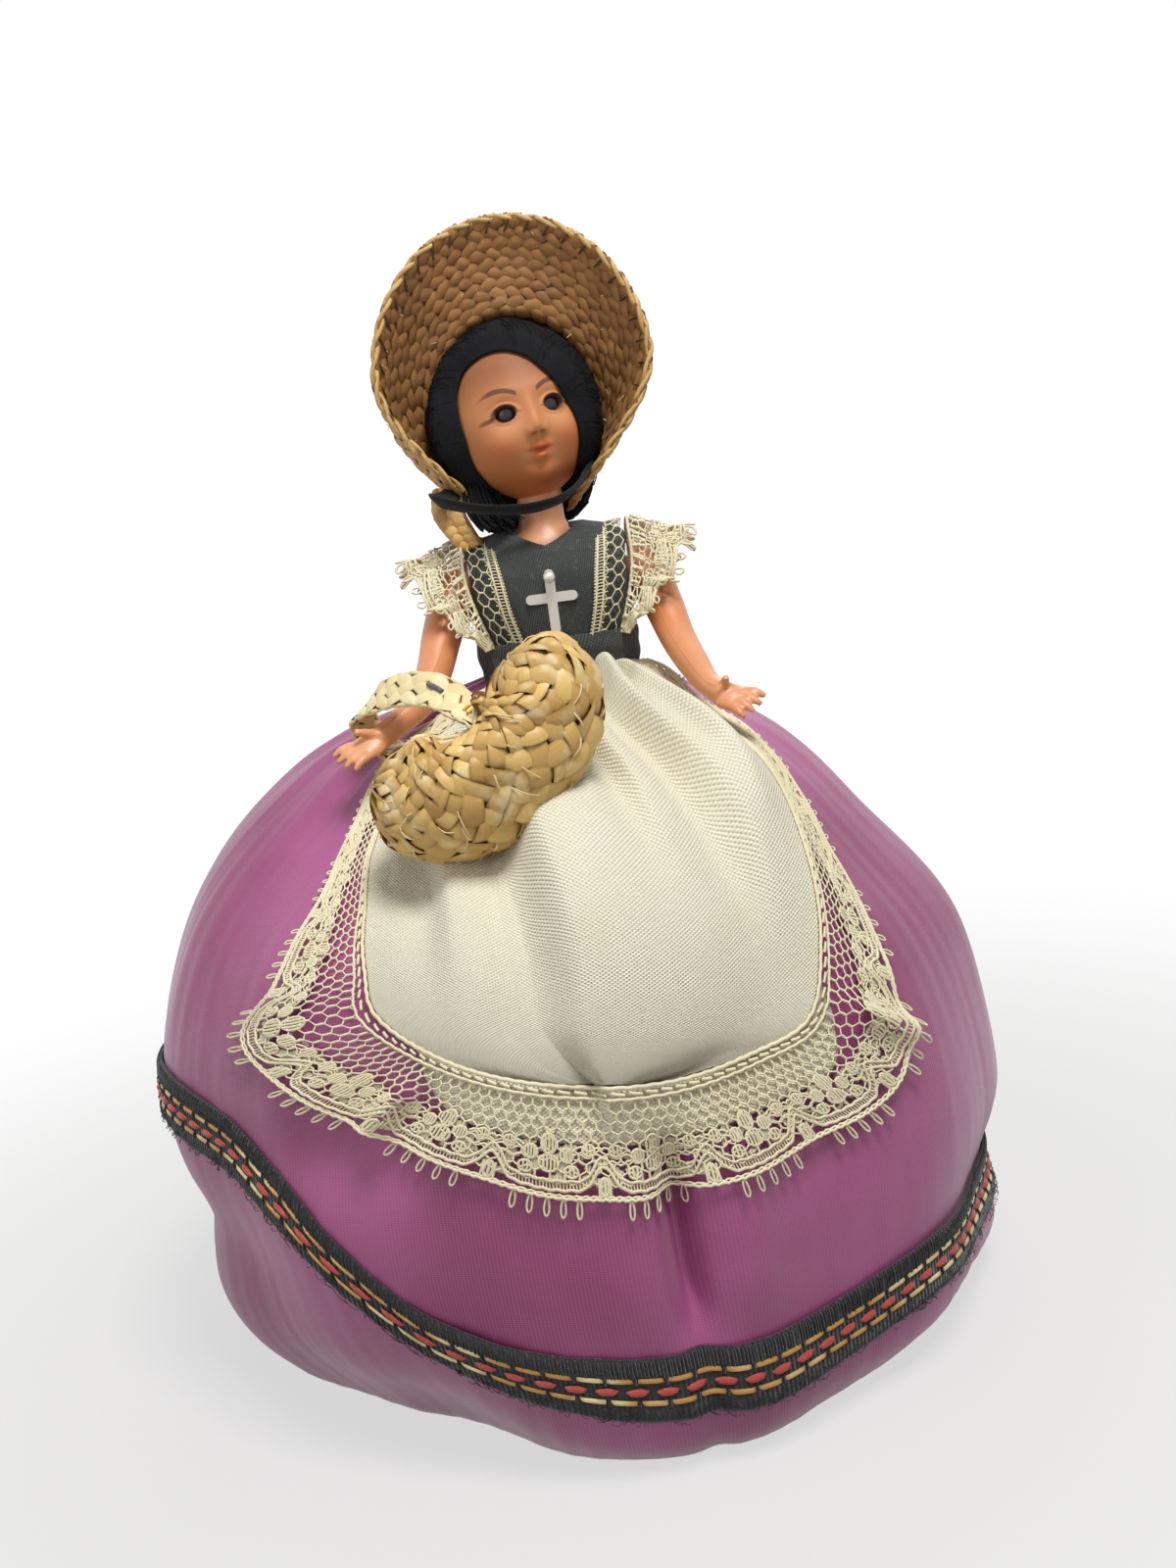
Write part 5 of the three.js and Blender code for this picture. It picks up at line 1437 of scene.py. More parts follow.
def make_hat_tail(finish):
    """The loose end of the sewn plait, below the ribbon on the doll's right."""
    path = [Vector(p) for p in (
        (-15.2, -1.5, -10.5), (-14.6, -3.4, -14), (-12.8, -4.8, -18), (-10.6, -5.2, -21.5),
    )]

    def strip(u, v):
        wide = 2.6 + 3.4 * smoothstep(u, -0.1, 0.45) - 2.0 * u * u
        return catmull(path, clamp(u)) + Vector((0.92, -0.28, 0.3)) * (v - 0.5) * wide

    bm = grid(lambda u, v: by_hat(strip(u, v)), 12, 4)
    base = piece("hat_tail_base", bm, finish, "head")
    thicken(base, 0.4 * MM, 0)
    bm, layer = straw_mesh()
    rng = random.Random(3)
    toward = outward_sign(strip, 0.5, 0.5, Vector((-12, 20, -16)))
    for n in range(8):
        for column in (-1, 1):
            lean = math.radians(column * 38)
            cos, sin = math.cos(lean), math.sin(lean)

            def place(a, b, h):
                x, y = a * cos - b * sin, a * sin + b * cos + column * 1.15
                u = clamp((n + 0.5 + 0.2 * column) / 8 + x / 13.5, 0.01, 0.99)
                return by_hat(off(strip, u, 0.5 + clamp(y, -2.4, 2.4) / 5, toward * (h + 0.3)))

            pad(bm, layer, place, 1.9, 1.15, 0.95, rng.random(), droop=0.35)
    piece("hat_tail_straw", bm, finish, "head")


def twill_thread():
    finish = Finish("dark_stitch", roughness=0.9)
    finish.mottle(colour(52, 32, 18), colour(92, 62, 36), 1200)
    return finish.material


# Hat ribbon: down the outside of the brim on the doll's right, under the chin, and up inside it on the left

RIBBON_ANGLE = 132


def beside_hat(degrees, v):
    return off(hat_point, degrees / 360, v, HAT_OUT * (STRAW / 2 + 0.8))


def make_ribbon():
    path = [
        beside_hat(-RIBBON_ANGLE, 0.62), beside_hat(-RIBBON_ANGLE, 0.78), beside_hat(-RIBBON_ANGLE, 0.94),
        *(Vector(p) for p in (
            (-15.6, -8.8, -12.5), (-11.4, -11.6, -14.1), (-6, -12.8, -15.3), (0.6, -12.8, -15.8),
            (6, -10.6, -14.8), (9.8, -6.4, -12.2), (12, -1.8, -8.4), (12.9, 2, -4.4),
        )),
    ]

    def place(u, v):
        p = catmull(path, u)
        tangent = tangent_of(path, u, 0.004)
        facing = Vector((p.x, p.y, p.z * 1.4))
        across = tangent.cross(facing).normalized()
        wide = 1.5 + 0.35 * hump(u, 0.2, 0.16) + 0.12 * math.sin(u * 23)
        turn = around(v)
        ruck = 0.12 * noise.noise(Vector((u * 22, math.sin(turn) * 2, math.cos(turn) * 2)))
        lift = facing.normalized() * (0.55 * math.sin(turn) + ruck)
        return by_hat(p + across * math.cos(turn) * wide + lift)

    finish = Finish("black_ribbon", roughness=0.85, Specular_IOR_Level=0.25)
    cloth = finish.place(cloth=True)
    ribs = finish.ripple(cloth, 0, 0.36)
    lint = finish.level(finish.noise(finish.place(), 800, 2), 0.66, 0.8)
    plain = finish.mix(colour(3, 3, 4), colour(12, 13, 15), ribs)
    finish.set("Base Color", finish.mix(plain, colour(80, 82, 86), lint * 0.25))
    finish.set("Sheen Weight", 0.1)
    bm = grid(place, 260, 18, (74, 6), closed=True, flip=False)
    close_ends(bm)
    piece("chin_ribbon", bm, finish.bump(ribs, 0.6, 0.12 * MM), "head", ["hat_ribbon"])


# Bodice and waistband

TORSO = (  # height, half width, half depth, middle
    (112, 11.6, 8.9, 0), (114.5, 11.4, 8.6, 0), (121, 12.2, 10, 0), (127, 13, 10.6, -0.5),
    (132.8, 13.5, 10.2, -0.5), (136.2, 12.4, 7.4, -0.4), (138.4, 8.6, 5.6, -0.3), (140.2, 5.2, 4.8, 0),
    (142, 4.1, 4.1, 0), (147.4, 4.1, 4.1, 0),
)
BODICE = (
    *TORSO[:5], (136.2, 13.1, 8.5, -0.4), (138.2, 12.6, 6.8, -0.3), (139.7, 10, 5.6, -0.1),
    (140.8, 5.8, 4.9, 0), (142, 4.6, 4.5, 0),
)


def torso_point(azimuth, z, grow=0.0, rings=TORSO):
    rx, ry, y = (through([(row[0], row[k]) for row in rings], z) for k in (1, 2, 3))
    return Vector(((rx + grow) * math.sin(azimuth), y - (ry + grow) * math.cos(azimuth), z))


def twill_finish():
    """Charcoal twill: fine steep ribs with pale flecks."""
    finish = Finish("charcoal_twill", roughness=0.9)
    cloth = finish.place(turn=(0, 0, math.radians(24)), cloth=True)
    ribs = finish.ripple(cloth, 0, 0.52)
    floats = finish.ripple(cloth, 1, 0.44)
    yarn = finish.noise(finish.place(), 1300, 2)
    flecks = finish.level(finish.noise(finish.place(), 1000, 2), 0.6, 0.72)
    cloudy = finish.noise(finish.place(), 90, 2)
    plain = finish.mix(colour(28, 32, 32), colour(84, 89, 84), ribs * 0.8 + floats * yarn * 0.3)
    plain = finish.mix(plain, colour(26, 32, 34), finish.level(cloudy, 0.42, 0.62) * 0.4)
    finish.set("Base Color", finish.mix(plain, colour(130, 134, 126), flecks * 0.25))
    finish.set("Sheen Weight", 0.15)
    return finish.bump(ribs * 0.8 + floats * ribs * 0.4, 0.9, 0.2 * MM)


NECKLINE_Z = 140.7
V_BOTTOM_Z = 137.3
V_HALF = 3.0
ARMHOLE_Z = 132.2
ARMHOLE_RADIUS = 4.9


def make_bodice():
    low = 114.9  # the waistband covers this edge

    def top(azimuth):
        across = abs(torso_point(azimuth, NECKLINE_Z).x)
        front = 1 if math.cos(azimuth) > 0 else 0
        return NECKLINE_Z - front * (NECKLINE_Z - V_BOTTOM_Z) * (1 - clamp(across / V_HALF)) ** 1.1

    def place(u, v):
        turn = around(u)
        azimuth = turn - 0.35 * math.sin(turn)
        z = lerp(low, top(azimuth), v)
        strain = 0.2 * noise.noise(Vector((math.sin(azimuth) * 4, z / 4, math.cos(azimuth) * 3)))
        strain *= hump(z, 122, 7)
        seam = 0.16 * hump(azimuth * 12, 0.5, 0.45) + 0.1 * hump(azimuth * 12, -0.8, 0.4)
        lip = -0.12 * hump(v, 1, 0.02)
        return on_body(torso_point(azimuth, z, 1.1 + strain + seam + lip, BODICE))

    bm = grid(place, 300, 130, (84, 26), closed=True)
    holes = []
    for face in bm.faces:
        x, y, z = face.calc_center_median() / MM
        if abs(x - BODY_X) > 10 and math.hypot(y, z - ARMHOLE_Z) < ARMHOLE_RADIUS:
            holes.append(face)
    bmesh.ops.delete(bm, geom=holes, context="FACES")
    twill = twill_finish()
    bodice = piece("twill_bodice", bm, twill, "body", ["bodice"])
    thicken(bodice, 0.55 * MM, -1)

    # the sewn seam down the front: a zigzag thread over the ridge
    runs = []
    run = []
    for k in range(58):
        z = V_BOTTOM_Z - 0.4 - k * 0.25
        side = (-0.75 if k % 2 else 0.75) + 0.2 * noise.noise(Vector((k, 0, 0)))
        run.append((on_body(torso_point(side / 11, z, 1.42, BODICE)), 0.13 * MM))
    runs.append(run)
    for side in (-1, 1):
        edge = []
        for k in range(40):
            azimuth = side * (0.02 + 0.03 * k)
            edge.append((on_body(torso_point(azimuth, top(azimuth) - 0.12, 1.05, BODICE)), 0.26 * MM))
        runs.append(edge)
    threads("bodice_seam", runs, twill, "body")

    def band(u, v):
        azimuth = around(u)
        roll = 0.35 * (1 - (v * 2 - 1) ** 4)
        crease = 0.35 * noise.noise(Vector((math.sin(azimuth) * 5, math.cos(azimuth) * 5, v * 1.5)))
        crease += 0.16 * math.sin(v * 9 + azimuth * 3)
        z = 114.3 + 7.2 * v + 0.25 * math.sin(azimuth * 2 + 1)
        return on_body(torso_point(azimuth, z, 1.85 + roll + crease * math.sin(math.pi * v)))

    bm = grid(band, 240, 26, (82, 6.6), closed=True)
    waist = piece("twill_waistband", bm, twill, "body", ["waistband"])
    thicken(waist, 0.6 * MM, -1)


# Bretelles: a net strap over each shoulder, its ends under the waistband, and a frill on its outer edge

STRAP_INNER = (
    (5.7, -11, 120.6), (7.3, -12, 127), (8.2, -10.8, 132.6), (9.2, -7, 137.6),
    (9.4, -0.5, 139.9), (9.2, 5.8, 137.9), (8.2, 10, 132.6), (6.8, 11, 127), (5.4, 10.7, 120.4),
)
STRAP_OUTER = (
    (11.2, -7.1, 120.8), (13.4, -7.4, 127.2), (14.8, -6.6, 133), (15, -5, 138.2),
    (15.2, -0.5, 140.4), (15, 4.6, 138.4), (14.8, 6, 133), (13.4, 6.6, 127.2), (11.2, 7.2, 120.8),
)
FRILL_EDGE = (
    (12.9, -11.2, 121.0), (18, -13, 126), (22.5, -11.5, 130), (26, -6, 134.6),
    (27, 0, 136.6), (25.5, 6, 134.6), (21.5, 9.5, 129.5), (16, 10, 125), (12.3, 8.8, 121.4),
)
STRAP_LENGTH, STRAP_DEPTH = 52, 7.4
FRILL_LENGTH, FRILL_DEPTH = 68, 12.5


def table_of(points, steps=240):
    vectors = [Vector(p) for p in points]
    return [catmull(vectors, i / steps) for i in range(steps + 1)]


def read_table(table, share):
    place = clamp(share) * (len(table) - 1)
    i = min(int(place), len(table) - 2)
    return table[i].lerp(table[i + 1], place - i)


INNER_RUN, OUTER_RUN, FRILL_RUN = (table_of(points) for points in (STRAP_INNER, STRAP_OUTER, FRILL_EDGE))


def strap_surface(u, v):
    return read_table(INNER_RUN, u).lerp(read_table(OUTER_RUN, u), v)


def frill_surface(u, v):
    start = read_table(OUTER_RUN, u)
    end = read_table(FRILL_RUN, u)
    away = end - start
    start = start + away.normalized() * 0.3
    p = start.lerp(end, v)
    ruffle = 1.5 * math.sin(u * math.tau * 7)
    p.z += v * ruffle - 0.5 * math.sin(math.pi * v)
    side = away.cross(Vector((0, 1, 0))).normalized()
    gathers = 0.55 * math.sin(u * math.tau * 23 + 1.3 * math.sin(u * 31)) * hump(v, 0.35, 0.5)
    crumple = 1.9 * noise.noise(Vector((u * 15, v * 2.2, 4))) * smoothstep(v, 0.1, 0.6)
    p += side * (gathers + crumple)
    p.y += 0.7 * v * math.sin(u * math.tau * 13 + 0.8)
    return p


def make_bretelle(side, name, yarn, ground):
    strap_up = outward_sign(strap_surface, 0.5, 0.5, Vector((8, 0, 120)))
    frill_up = outward_sign(frill_surface, 0.5, 0.5, Vector((18, 0, 120)))

    def mirrored(p):
        return on_body((p.x * side, p.y, p.z))

    def on_strap(x, y, lift=0.0):
        along = clamp(x / STRAP_LENGTH, 0.003, 0.997)
        return mirrored(off(strap_surface, along, y / STRAP_DEPTH, strap_up * (0.3 + lift)))

    def on_frill(x, y, lift=0.0):
        along = clamp(x / FRILL_LENGTH, 0.003, 0.997)
        return mirrored(off(frill_surface, along, y / FRILL_DEPTH, frill_up * (0.15 + lift)))

    runs = []

    def add(points, radius, lift=0.0):
        runs.append([(on_strap(x, y, lift), radius * MM) for x, y in points])

    cord_step, whip_step, leg_step = 0.5, 0.62, 1.35
    steps = int(STRAP_LENGTH / cord_step)
    for level, radius in ((0.1, 0.2), (1.5, 0.2), (STRAP_DEPTH - 0.2, 0.3)):
        add([(i * cord_step, level + 0.05 * math.sin(i * 2.1)) for i in range(steps + 1)], radius)
    for i in range(int(STRAP_LENGTH / whip_step)):
        x = i * whip_step
        add([(x, 0.1), (x + 0.06, 0.8), (x, 1.5)], 0.11)
        loop_stitch(add, x, 0.05, 0.34, -0.5, 0.1, 6)
    net_runs(STRAP_LENGTH, 2.0, STRAP_DEPTH - 0.4, add, pitch=2.7, row=1.7, sway=0.42, radius=0.13)
    for i in range(int(STRAP_LENGTH / leg_step)):
        add([(i * leg_step, 1.5), (i * leg_step, 2.4)], 0.12)
    strap_net = threads(f"strap_lace_{name}", runs, yarn, "body", replaces=[f"lace_strap_{name}"])

    runs = []

    def fell(points, radius, lift=0.0):
        runs.append([(on_frill(x, y, lift), radius * MM) for x, y in points])

    net_runs(FRILL_LENGTH, 0.3, 9.6, fell, pitch=1.7, row=1.3, sway=0.27, radius=0.15)
    cord_step, gather_step, repeat = 0.55, 1.5, 11
    places = [i * cord_step for i in range(int(FRILL_LENGTH / cord_step) + 1)]
    for i in range(int(FRILL_LENGTH / gather_step)):
        x = i * gather_step
        fell([(x, 0.0), (x + 0.2, 1.3), (x + 0.1, 2.8)], 0.26, 0.15)
    for n in range(int(FRILL_LENGTH / repeat)):
        x = (n + 0.5) * repeat
        tally(fell, x, 4.6, 1.7, 2.2, 5)
        tally(fell, x, 7.4, 2.2, 2.0, 6)
        for way in (-1, 1):
            tally(fell, x + way * 2.6, 6.0, 1.5, 1.6, 4)
            for level in (4.4, 5.4, 6.4, 7.4):
                fell(wavy_cord(x, way, 3.2, 0.45, level, 0.3, 7), 0.18, 0.1)
        for k in (-2, -1, 0, 1, 2):
            loop_stitch(fell, x + k * PICOT_PITCH, FRILL_DEPTH - 2.5, 0.95, 2.5, 0.19)
    for shift in (-0.55, 0.5):
        points = []
        for x in places:
            drop = 8.9 - 1.5 * hump(x % repeat, 0, 1.6) - 1.5 * hump(x % repeat, repeat, 1.6)
            points.append((x, drop + shift))
        fell(points, 0.25, 0.1)
    fell([(x, FRILL_DEPTH - 2.4 + 0.12 * math.sin(i * 2.4)) for i, x in enumerate(places)], 0.3)
    cords = threads(f"frill_cords_{name}", runs, yarn, "body", solid=True)

    def place(u, v):
        return on_frill(u * FRILL_LENGTH, v * (FRILL_DEPTH - 2.3), -0.1)

    bm = grid(place, 260, 24, (FRILL_LENGTH, FRILL_DEPTH - 2.3), flip=side > 0)
    frill = piece(f"frill_lace_{name}", bm, ground, "body", [f"lace_frill_{name}"])
    for made in (frill, cords):
        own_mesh(made)


def make_bretelles():
    yarn = yarn_finish()
    ground = ground_finish("frill_ground", 3.6, 9.8)
    make_bretelle(1, "left", yarn, ground)
    make_bretelle(-1, "right", yarn, ground)


# Skin, arms and small metal


def skin_finish():
    """Peach plastic, a little more orange in broad random patches."""
    finish = Finish("peach_plastic", roughness=0.38, Coat_Weight=0.2, Coat_Roughness=0.3)
    blotch = finish.noise(finish.place(), 140, 3)
    broad = finish.noise(finish.place(), 45, 1)
    tone = finish.mix(colour(216, 144, 98), colour(230, 166, 122), blotch)
    finish.set("Base Color", finish.mix(tone, colour(204, 118, 62), finish.level(broad, 0.42, 0.7) * 0.6))
    finish.set("Roughness", 0.34 + blotch * 0.14)
    return finish.bump(finish.noise(finish.place(), 420, 2), 0.15, 0.08 * MM)


SHOULDER_Z = 132.8
ARMS = {  # side, middle line, then the palm's start, end and flat side, and the thumb
    "left": (
        1,
        ((14.6, 0, SHOULDER_Z), (17.2, -1, 130.6), (19.2, -5.5, 125.4), (20.8, -12, 119.2),
         (22.6, -19, 114.8), (24.4, -25, 111.6), (26.6, -28.4, 110)),
        ((25.6, -27, 110.6), (29.2, -30, 108.8), (0.15, -0.72, 0.68)),
        ((26.4, -28.2, 111.4), (26.8, -30, 113.2)),
    ),
    "right": (
        -1,
        ((-14.6, 0, SHOULDER_Z), (-17.4, -1, 130.6), (-20, -6, 124.8), (-22.2, -13, 118.2),
         (-25.2, -19.2, 114), (-29.4, -24.4, 111.2), (-32, -26.6, 109.8)),
        ((-31.2, -26, 110.4), (-35.6, -29, 108.2), (-0.2, -0.6, 0.76)),
        ((-32.6, -27.6, 111), (-35, -29.4, 112)),
    ),
}
ARM_RADII = (3.9, 3.9, 3.6, 3.1, 2.7, 2.1, 2.2)


def limb_point(path, radii, t, angle, grow=0.0):
    middle = catmull(path, t)
    tangent = tangent_of(path, t, 0.01)
    side = Vector((1, 0.2, 0.3)).cross(tangent).normalized()
    up = tangent.cross(side).normalized()
    radius = even_catmull([(r, 0) for r in radii], t)[0] + grow
    return middle + (side * math.cos(angle) + up * math.sin(angle)) * radius


def add_limb(bm, path, radii, sides=20, steps=24):
    """A closed tube, grown ring by ring from a circle."""
    path = [Vector(p) for p in path]
    ring = bmesh.ops.create_circle(bm, cap_ends=True, segments=sides, radius=1)["verts"]
    for n, vertex in enumerate(ring):
        vertex.co = on_body(limb_point(path, radii, 0, math.tau * n / sides))
    edges = list({edge for vertex in ring for edge in vertex.link_edges})
    for k in range(1, steps + 1):
        grown = bmesh.ops.extrude_edge_only(bm, edges=edges)["geom"]
        ring = [item for item in grown if isinstance(item, bmesh.types.BMVert)]
        edges = [item for item in grown if isinstance(item, bmesh.types.BMEdge)]
        for n, vertex in enumerate(ring):
            vertex.co = on_body(limb_point(path, radii, k / steps, math.tau * n / sides))
    bmesh.ops.holes_fill(bm, edges=edges)


def moulded(name, bm, finish, body, replaces, voxel, smooth):
    """Fuses overlapping closed forms into one smooth moulding."""
    mesh = bpy.data.meshes.new(name + "_rough")
    bmesh.ops.remove_doubles(bm, verts=bm.verts, dist=1e-7)
    bmesh.ops.recalc_face_normals(bm, faces=bm.faces)
    bm.to_mesh(mesh)
    bm.free()
    rough = bpy.data.objects.new(name + "_rough", mesh)
    bpy.context.scene.collection.objects.link(rough)
    fuse = rough.modifiers.new("fuse", "REMESH")
    fuse.mode = "VOXEL"
    fuse.voxel_size = voxel * MM
    depsgraph = bpy.context.evaluated_depsgraph_get()
    fused = bmesh.new()
    fused.from_mesh(rough.evaluated_get(depsgraph).to_mesh())
    bpy.data.objects.remove(rough)
    for _ in range(smooth):
        bmesh.ops.smooth_vert(
            fused, verts=fused.verts, factor=0.5, use_axis_x=True, use_axis_y=True, use_axis_z=True
        )
    return piece(name, fused, finish, body, replaces)


def make_arm(name, skin):
    side, path, (start, end, flat), thumb = ARMS[name]
    start, end, flat = Vector(start), Vector(end), Vector(flat)
    bm = bmesh.new()
    add_limb(bm, path, ARM_RADII)
    shoulder = [(side * x, 0, SHOULDER_Z) for x in (14.5, 15.5, 16.5, 17.2)]
    add_limb(bm, shoulder, (3.9, 3.9, 3.7, 3.2), steps=6)
    forward = (end - start).normalized()
    across = flat.cross(forward).normalized()
    up = forward.cross(across)
    middle = start.lerp(end, 0.45)
    made = bmesh.ops.create_uvsphere(bm, u_segments=24, v_segments=16, radius=1)
    long = (end - start).length * 0.62
    for vertex in made["verts"]:
        x, y, z = vertex.co
        cup = -0.35 * y * y
        vertex.co = on_body(middle + forward * x * long + across * y * 3.0 + up * (z * 1.3 + cup))
    for n in (-1.5, -0.5, 0.5, 1.5):
        root = end + across * n * 1.45 - forward * 1.4
        way = (forward + across * n * 0.14).normalized()
        tip = root + way * (4.6 - abs(n) * 0.5)
        knuckle = root.lerp(tip, 0.5) + flat * 0.3
        add_limb(bm, (root, knuckle, tip - flat * 0.25), (0.82, 0.8, 0.5), 12, 8)
    add_limb(bm, (start.lerp(end, 0.3), *thumb), (1.15, 0.98, 0.62), 12, 8)
    body = f"arm_{name}"
    moulded(f"plastic_arm_{name}", bm, skin, body, [body], voxel=0.3, smooth=4)
    vectors = [Vector(p) for p in path]
    angle = math.radians(205 if side > 0 else 150)
    run = []
    for k in range(41):
        p = limb_point(vectors, ARM_RADII, 0.12 + 0.82 * k / 40, angle, -0.07)
        run.append((on_body(p), 0.13 * MM))
    threads(f"mould_seam_{name}", [run], skin, body)


def make_neck(skin):
    bm = grid(lambda u, v: on_body(torso_point(around(u), lerp(134.5, 147.2, v), 0.06)), 72, 40,
              closed=True, flip=False)
    piece("plastic_neck", bm, skin, "body")


def silver_finish():
    finish = Finish("worn_silver", roughness=0.42, Metallic=0.55)
    worn = finish.mottle(colour(226, 220, 212), colour(196, 188, 178), 160, 3)
    finish.set("Roughness", 0.34 + worn * 0.2)
    return finish.bump(finish.noise(finish.place((1, 1, 0.2)), 1500, 2), 0.15, 0.03 * MM)


PIN_Z = 132.4


def make_pin(silver):
    bm = bmesh.new()
    made = bmesh.ops.create_uvsphere(bm, u_segments=32, v_segments=20, radius=1.06)
    for vertex in made["verts"]:
        vertex.co += Vector((0, -14.35, PIN_Z))
    made = bmesh.ops.create_cone(bm, cap_ends=True, segments=20, radius1=0.35, radius2=0.35, depth=3.3)
    for vertex in made["verts"]:
        x, y, z = vertex.co
        vertex.co = Vector((x, z - 12.7, y + PIN_Z))
    for vertex in bm.verts:
        vertex.co = on_body(vertex.co)
    bmesh.ops.recalc_face_normals(bm, faces=bm.faces)
    piece("pearl_pin", bm, silver, "body", ["cross_pin"])


# Basket: a curved pouch of plaited straw, its mouth in the hollow side, and a flat plaited handle

BASKET_LINE = (
    (-30.4, -46.4, 105), (-25, -47.5, 103.2), (-18.5, -48, 103.4), (-11.6, -48, 106.6),
    (-6, -47.5, 111.4), (-4.4, -47, 117.2), (-7.6, -46.4, 121.6),
)
BASKET_SWELL = ((0, 0.42), (1, 0.84), (2, 1), (3, 1), (4, 0.98), (5, 0.88), (6, 0.58))
BASKET_HALF_HEIGHT = 10.6
BASKET_HALF_DEPTH = 7.6
BASKET_HOLLOW = 0.45  # how much less it stands up in the middle of its hollow side
MOUTH = Vector((-18.5, -47.5, 112))
MOUTH_HALF = (6, 3.2)
MOUTH_LOWEST = 104  # the underside of the pouch lies below this
BASKET_RUN = [Vector(p) for p in BASKET_LINE]
BASKET_ROWS = 12
BASKET_AROUND = 15
HANDLE_PATH = (
    (-12.6, -45.6, 111.6), (-15.4, -41.6, 114.4), (-20, -35.5, 117.4), (-26.5, -30, 118),
    (-31.4, -25.2, 116.4), (-34.4, -20.6, 113), (-32.8, -20.6, 109.2), (-28.8, -25.2, 107.1),
    (-26, -33.4, 106.2), (-23.6, -43.4, 105.4),
)


def basket_surface(t, turn):
    """The pouch's surface, by share along its line and turns around it."""
    t = clamp(t, 0, 1)
    middle = catmull(BASKET_RUN, t)
    tangent = tangent_of(BASKET_RUN, t, 0.02)
    across = tangent.cross(Vector((0, 1, 0))).normalized()
    swell = through(BASKET_SWELL, t * 6)
    edge = clamp(min(t, 1 - t) / 0.07)
    swell *= math.sqrt(max(0, 1 - (1 - edge) ** 2)) * 0.96 + 0.04
    angle = turn * math.tau
    hollow = 1 - BASKET_HOLLOW * hump(t, 0.5, 0.2) * max(0, math.cos(angle)) ** 1.5
    high, deep = swell * BASKET_HALF_HEIGHT * hollow, swell * BASKET_HALF_DEPTH
    return middle + across * high * math.cos(angle) + Vector((0, deep * math.sin(angle), 0))


def over_mouth(p):
    """Where p lies over the mouth, whose rim is 1 from its middle."""
    return (p.x - MOUTH.x) / MOUTH_HALF[0], (p.y - MOUTH.y) / MOUTH_HALF[1]


def in_mouth(p, share=1.0):
    return math.hypot(*over_mouth(p)) < share and p.z > MOUTH_LOWEST


BASKET_OUT = outward_sign(basket_surface, 0.4, 0.2, catmull(BASKET_RUN, 0.4))


def make_basket():
    palm = straw_finish(
        "palm_straw", colour(174, 128, 60), colour(232, 196, 118), colour(253, 242, 200), roughness=0.38
    )
    pale = straw_finish(
        "pale_palm_straw", colour(200, 170, 106), colour(247, 231, 180), colour(254, 248, 220), roughness=0.42
    )
    dark = Finish("basket_shadow", roughness=0.9)
    dark.mottle(colour(84, 52, 22), colour(140, 96, 48), 700)

    def under_straw(u, v):
        return on_body(off(basket_surface, 0.004 + 0.992 * u, v, -BASKET_OUT * 0.7))

    bm = grid(under_straw, 60, 72, closed=True)
    close_ends(bm)
    inside = []
    for face in bm.faces:
        centre = face.calc_center_median() / MM - Vector((BODY_X, 0, 0))
        if in_mouth(centre):
            inside.append(face)
    bmesh.ops.delete(bm, geom=inside, context="FACES")
    base = piece("basket_base", bm, dark.material, "basket", ["basket"])
    thicken(base, 0.5 * MM, 0)

    rng = random.Random(8)
    bm, layer = straw_mesh()
    for k in range(-1, BASKET_ROWS * 2 + 2):
        for n in range(BASKET_AROUND):
            t0 = k / 2 / BASKET_ROWS + rng.uniform(-0.006, 0.006)
            turn0 = (n + 0.5 * (k % 2)) / BASKET_AROUND + rng.uniform(-0.007, 0.007)
            centre = basket_surface(clamp(t0), turn0)
            if in_mouth(centre, 0.92):
                continue
            mirror = 1 if k % 2 else -1
            twist = rng.uniform(-0.3, 0.3)
            rise = rng.uniform(0.0, 0.35)
            tilt = rng.uniform(-1.2, 1.2)

            def place(a, b, h):
                a, b = a - twist * b, b + twist * a
                along, aside = (a + b) / 2, mirror * (a - b) / 2
                return on_body(off(
                    basket_surface, t0 + along / BASKET_ROWS, turn0 + aside / BASKET_AROUND,
                    BASKET_OUT * (h - 0.35 + rise + tilt * b),
                ))

            size = rng.uniform(0.92, 1.12)
            wide = 0.5 * rng.uniform(0.85, 1.1)
            bulge = rng.uniform(0.75, 1.15)
            pad(bm, layer, place, 0.9 * size, wide, bulge, rng.random(), 5, 4, droop=0.24)
    piece("basket_straw", bm, palm, "basket")

    # a straw bound round the mouth, and loose ends that stand off the plait
    found = []
    steps = 160
    for i in range(steps):
        for j in range(steps):
            p = basket_surface(i / steps, j / steps)
            x, y = over_mouth(p)
            if 0.97 < math.hypot(x, y) < 1.06 and p.z > MOUTH_LOWEST:
                found.append((math.atan2(y, x), p))
    found.sort(key=lambda item: item[0])
    spread = found[:: max(1, len(found) // 36)]
    runs = [[(on_body(p + Vector((0, 0, 0.25))), 0.55 * MM) for _, p in spread]] if len(spread) > 6 else []
    for n in range(70):
        t, turn = rng.uniform(0.03, 0.97), rng.random()
        if in_mouth(basket_surface(t, turn)):
            continue
        bend = (rng.uniform(-0.05, 0.05), rng.uniform(-0.05, 0.05))
        run = []
        for k in range(5):
            s = k / 4
            lift = BASKET_OUT * (0.5 + 0.7 * math.sin(math.pi * s))
            p = off(basket_surface, t + bend[0] * s, turn + bend[1] * s * 1.6, lift)
            run.append((on_body(p), (0.11 if n % 3 else 0.17) * MM))
        runs.append(run)
    fibre = Finish("loose_straw", roughness=0.5)
    fibre.mottle(colour(214, 178, 112), colour(246, 230, 184), 300)
    threads("basket_fibres", runs, fibre.material, "basket", sides=6)

    make_handle(pale, dark.material, rng)


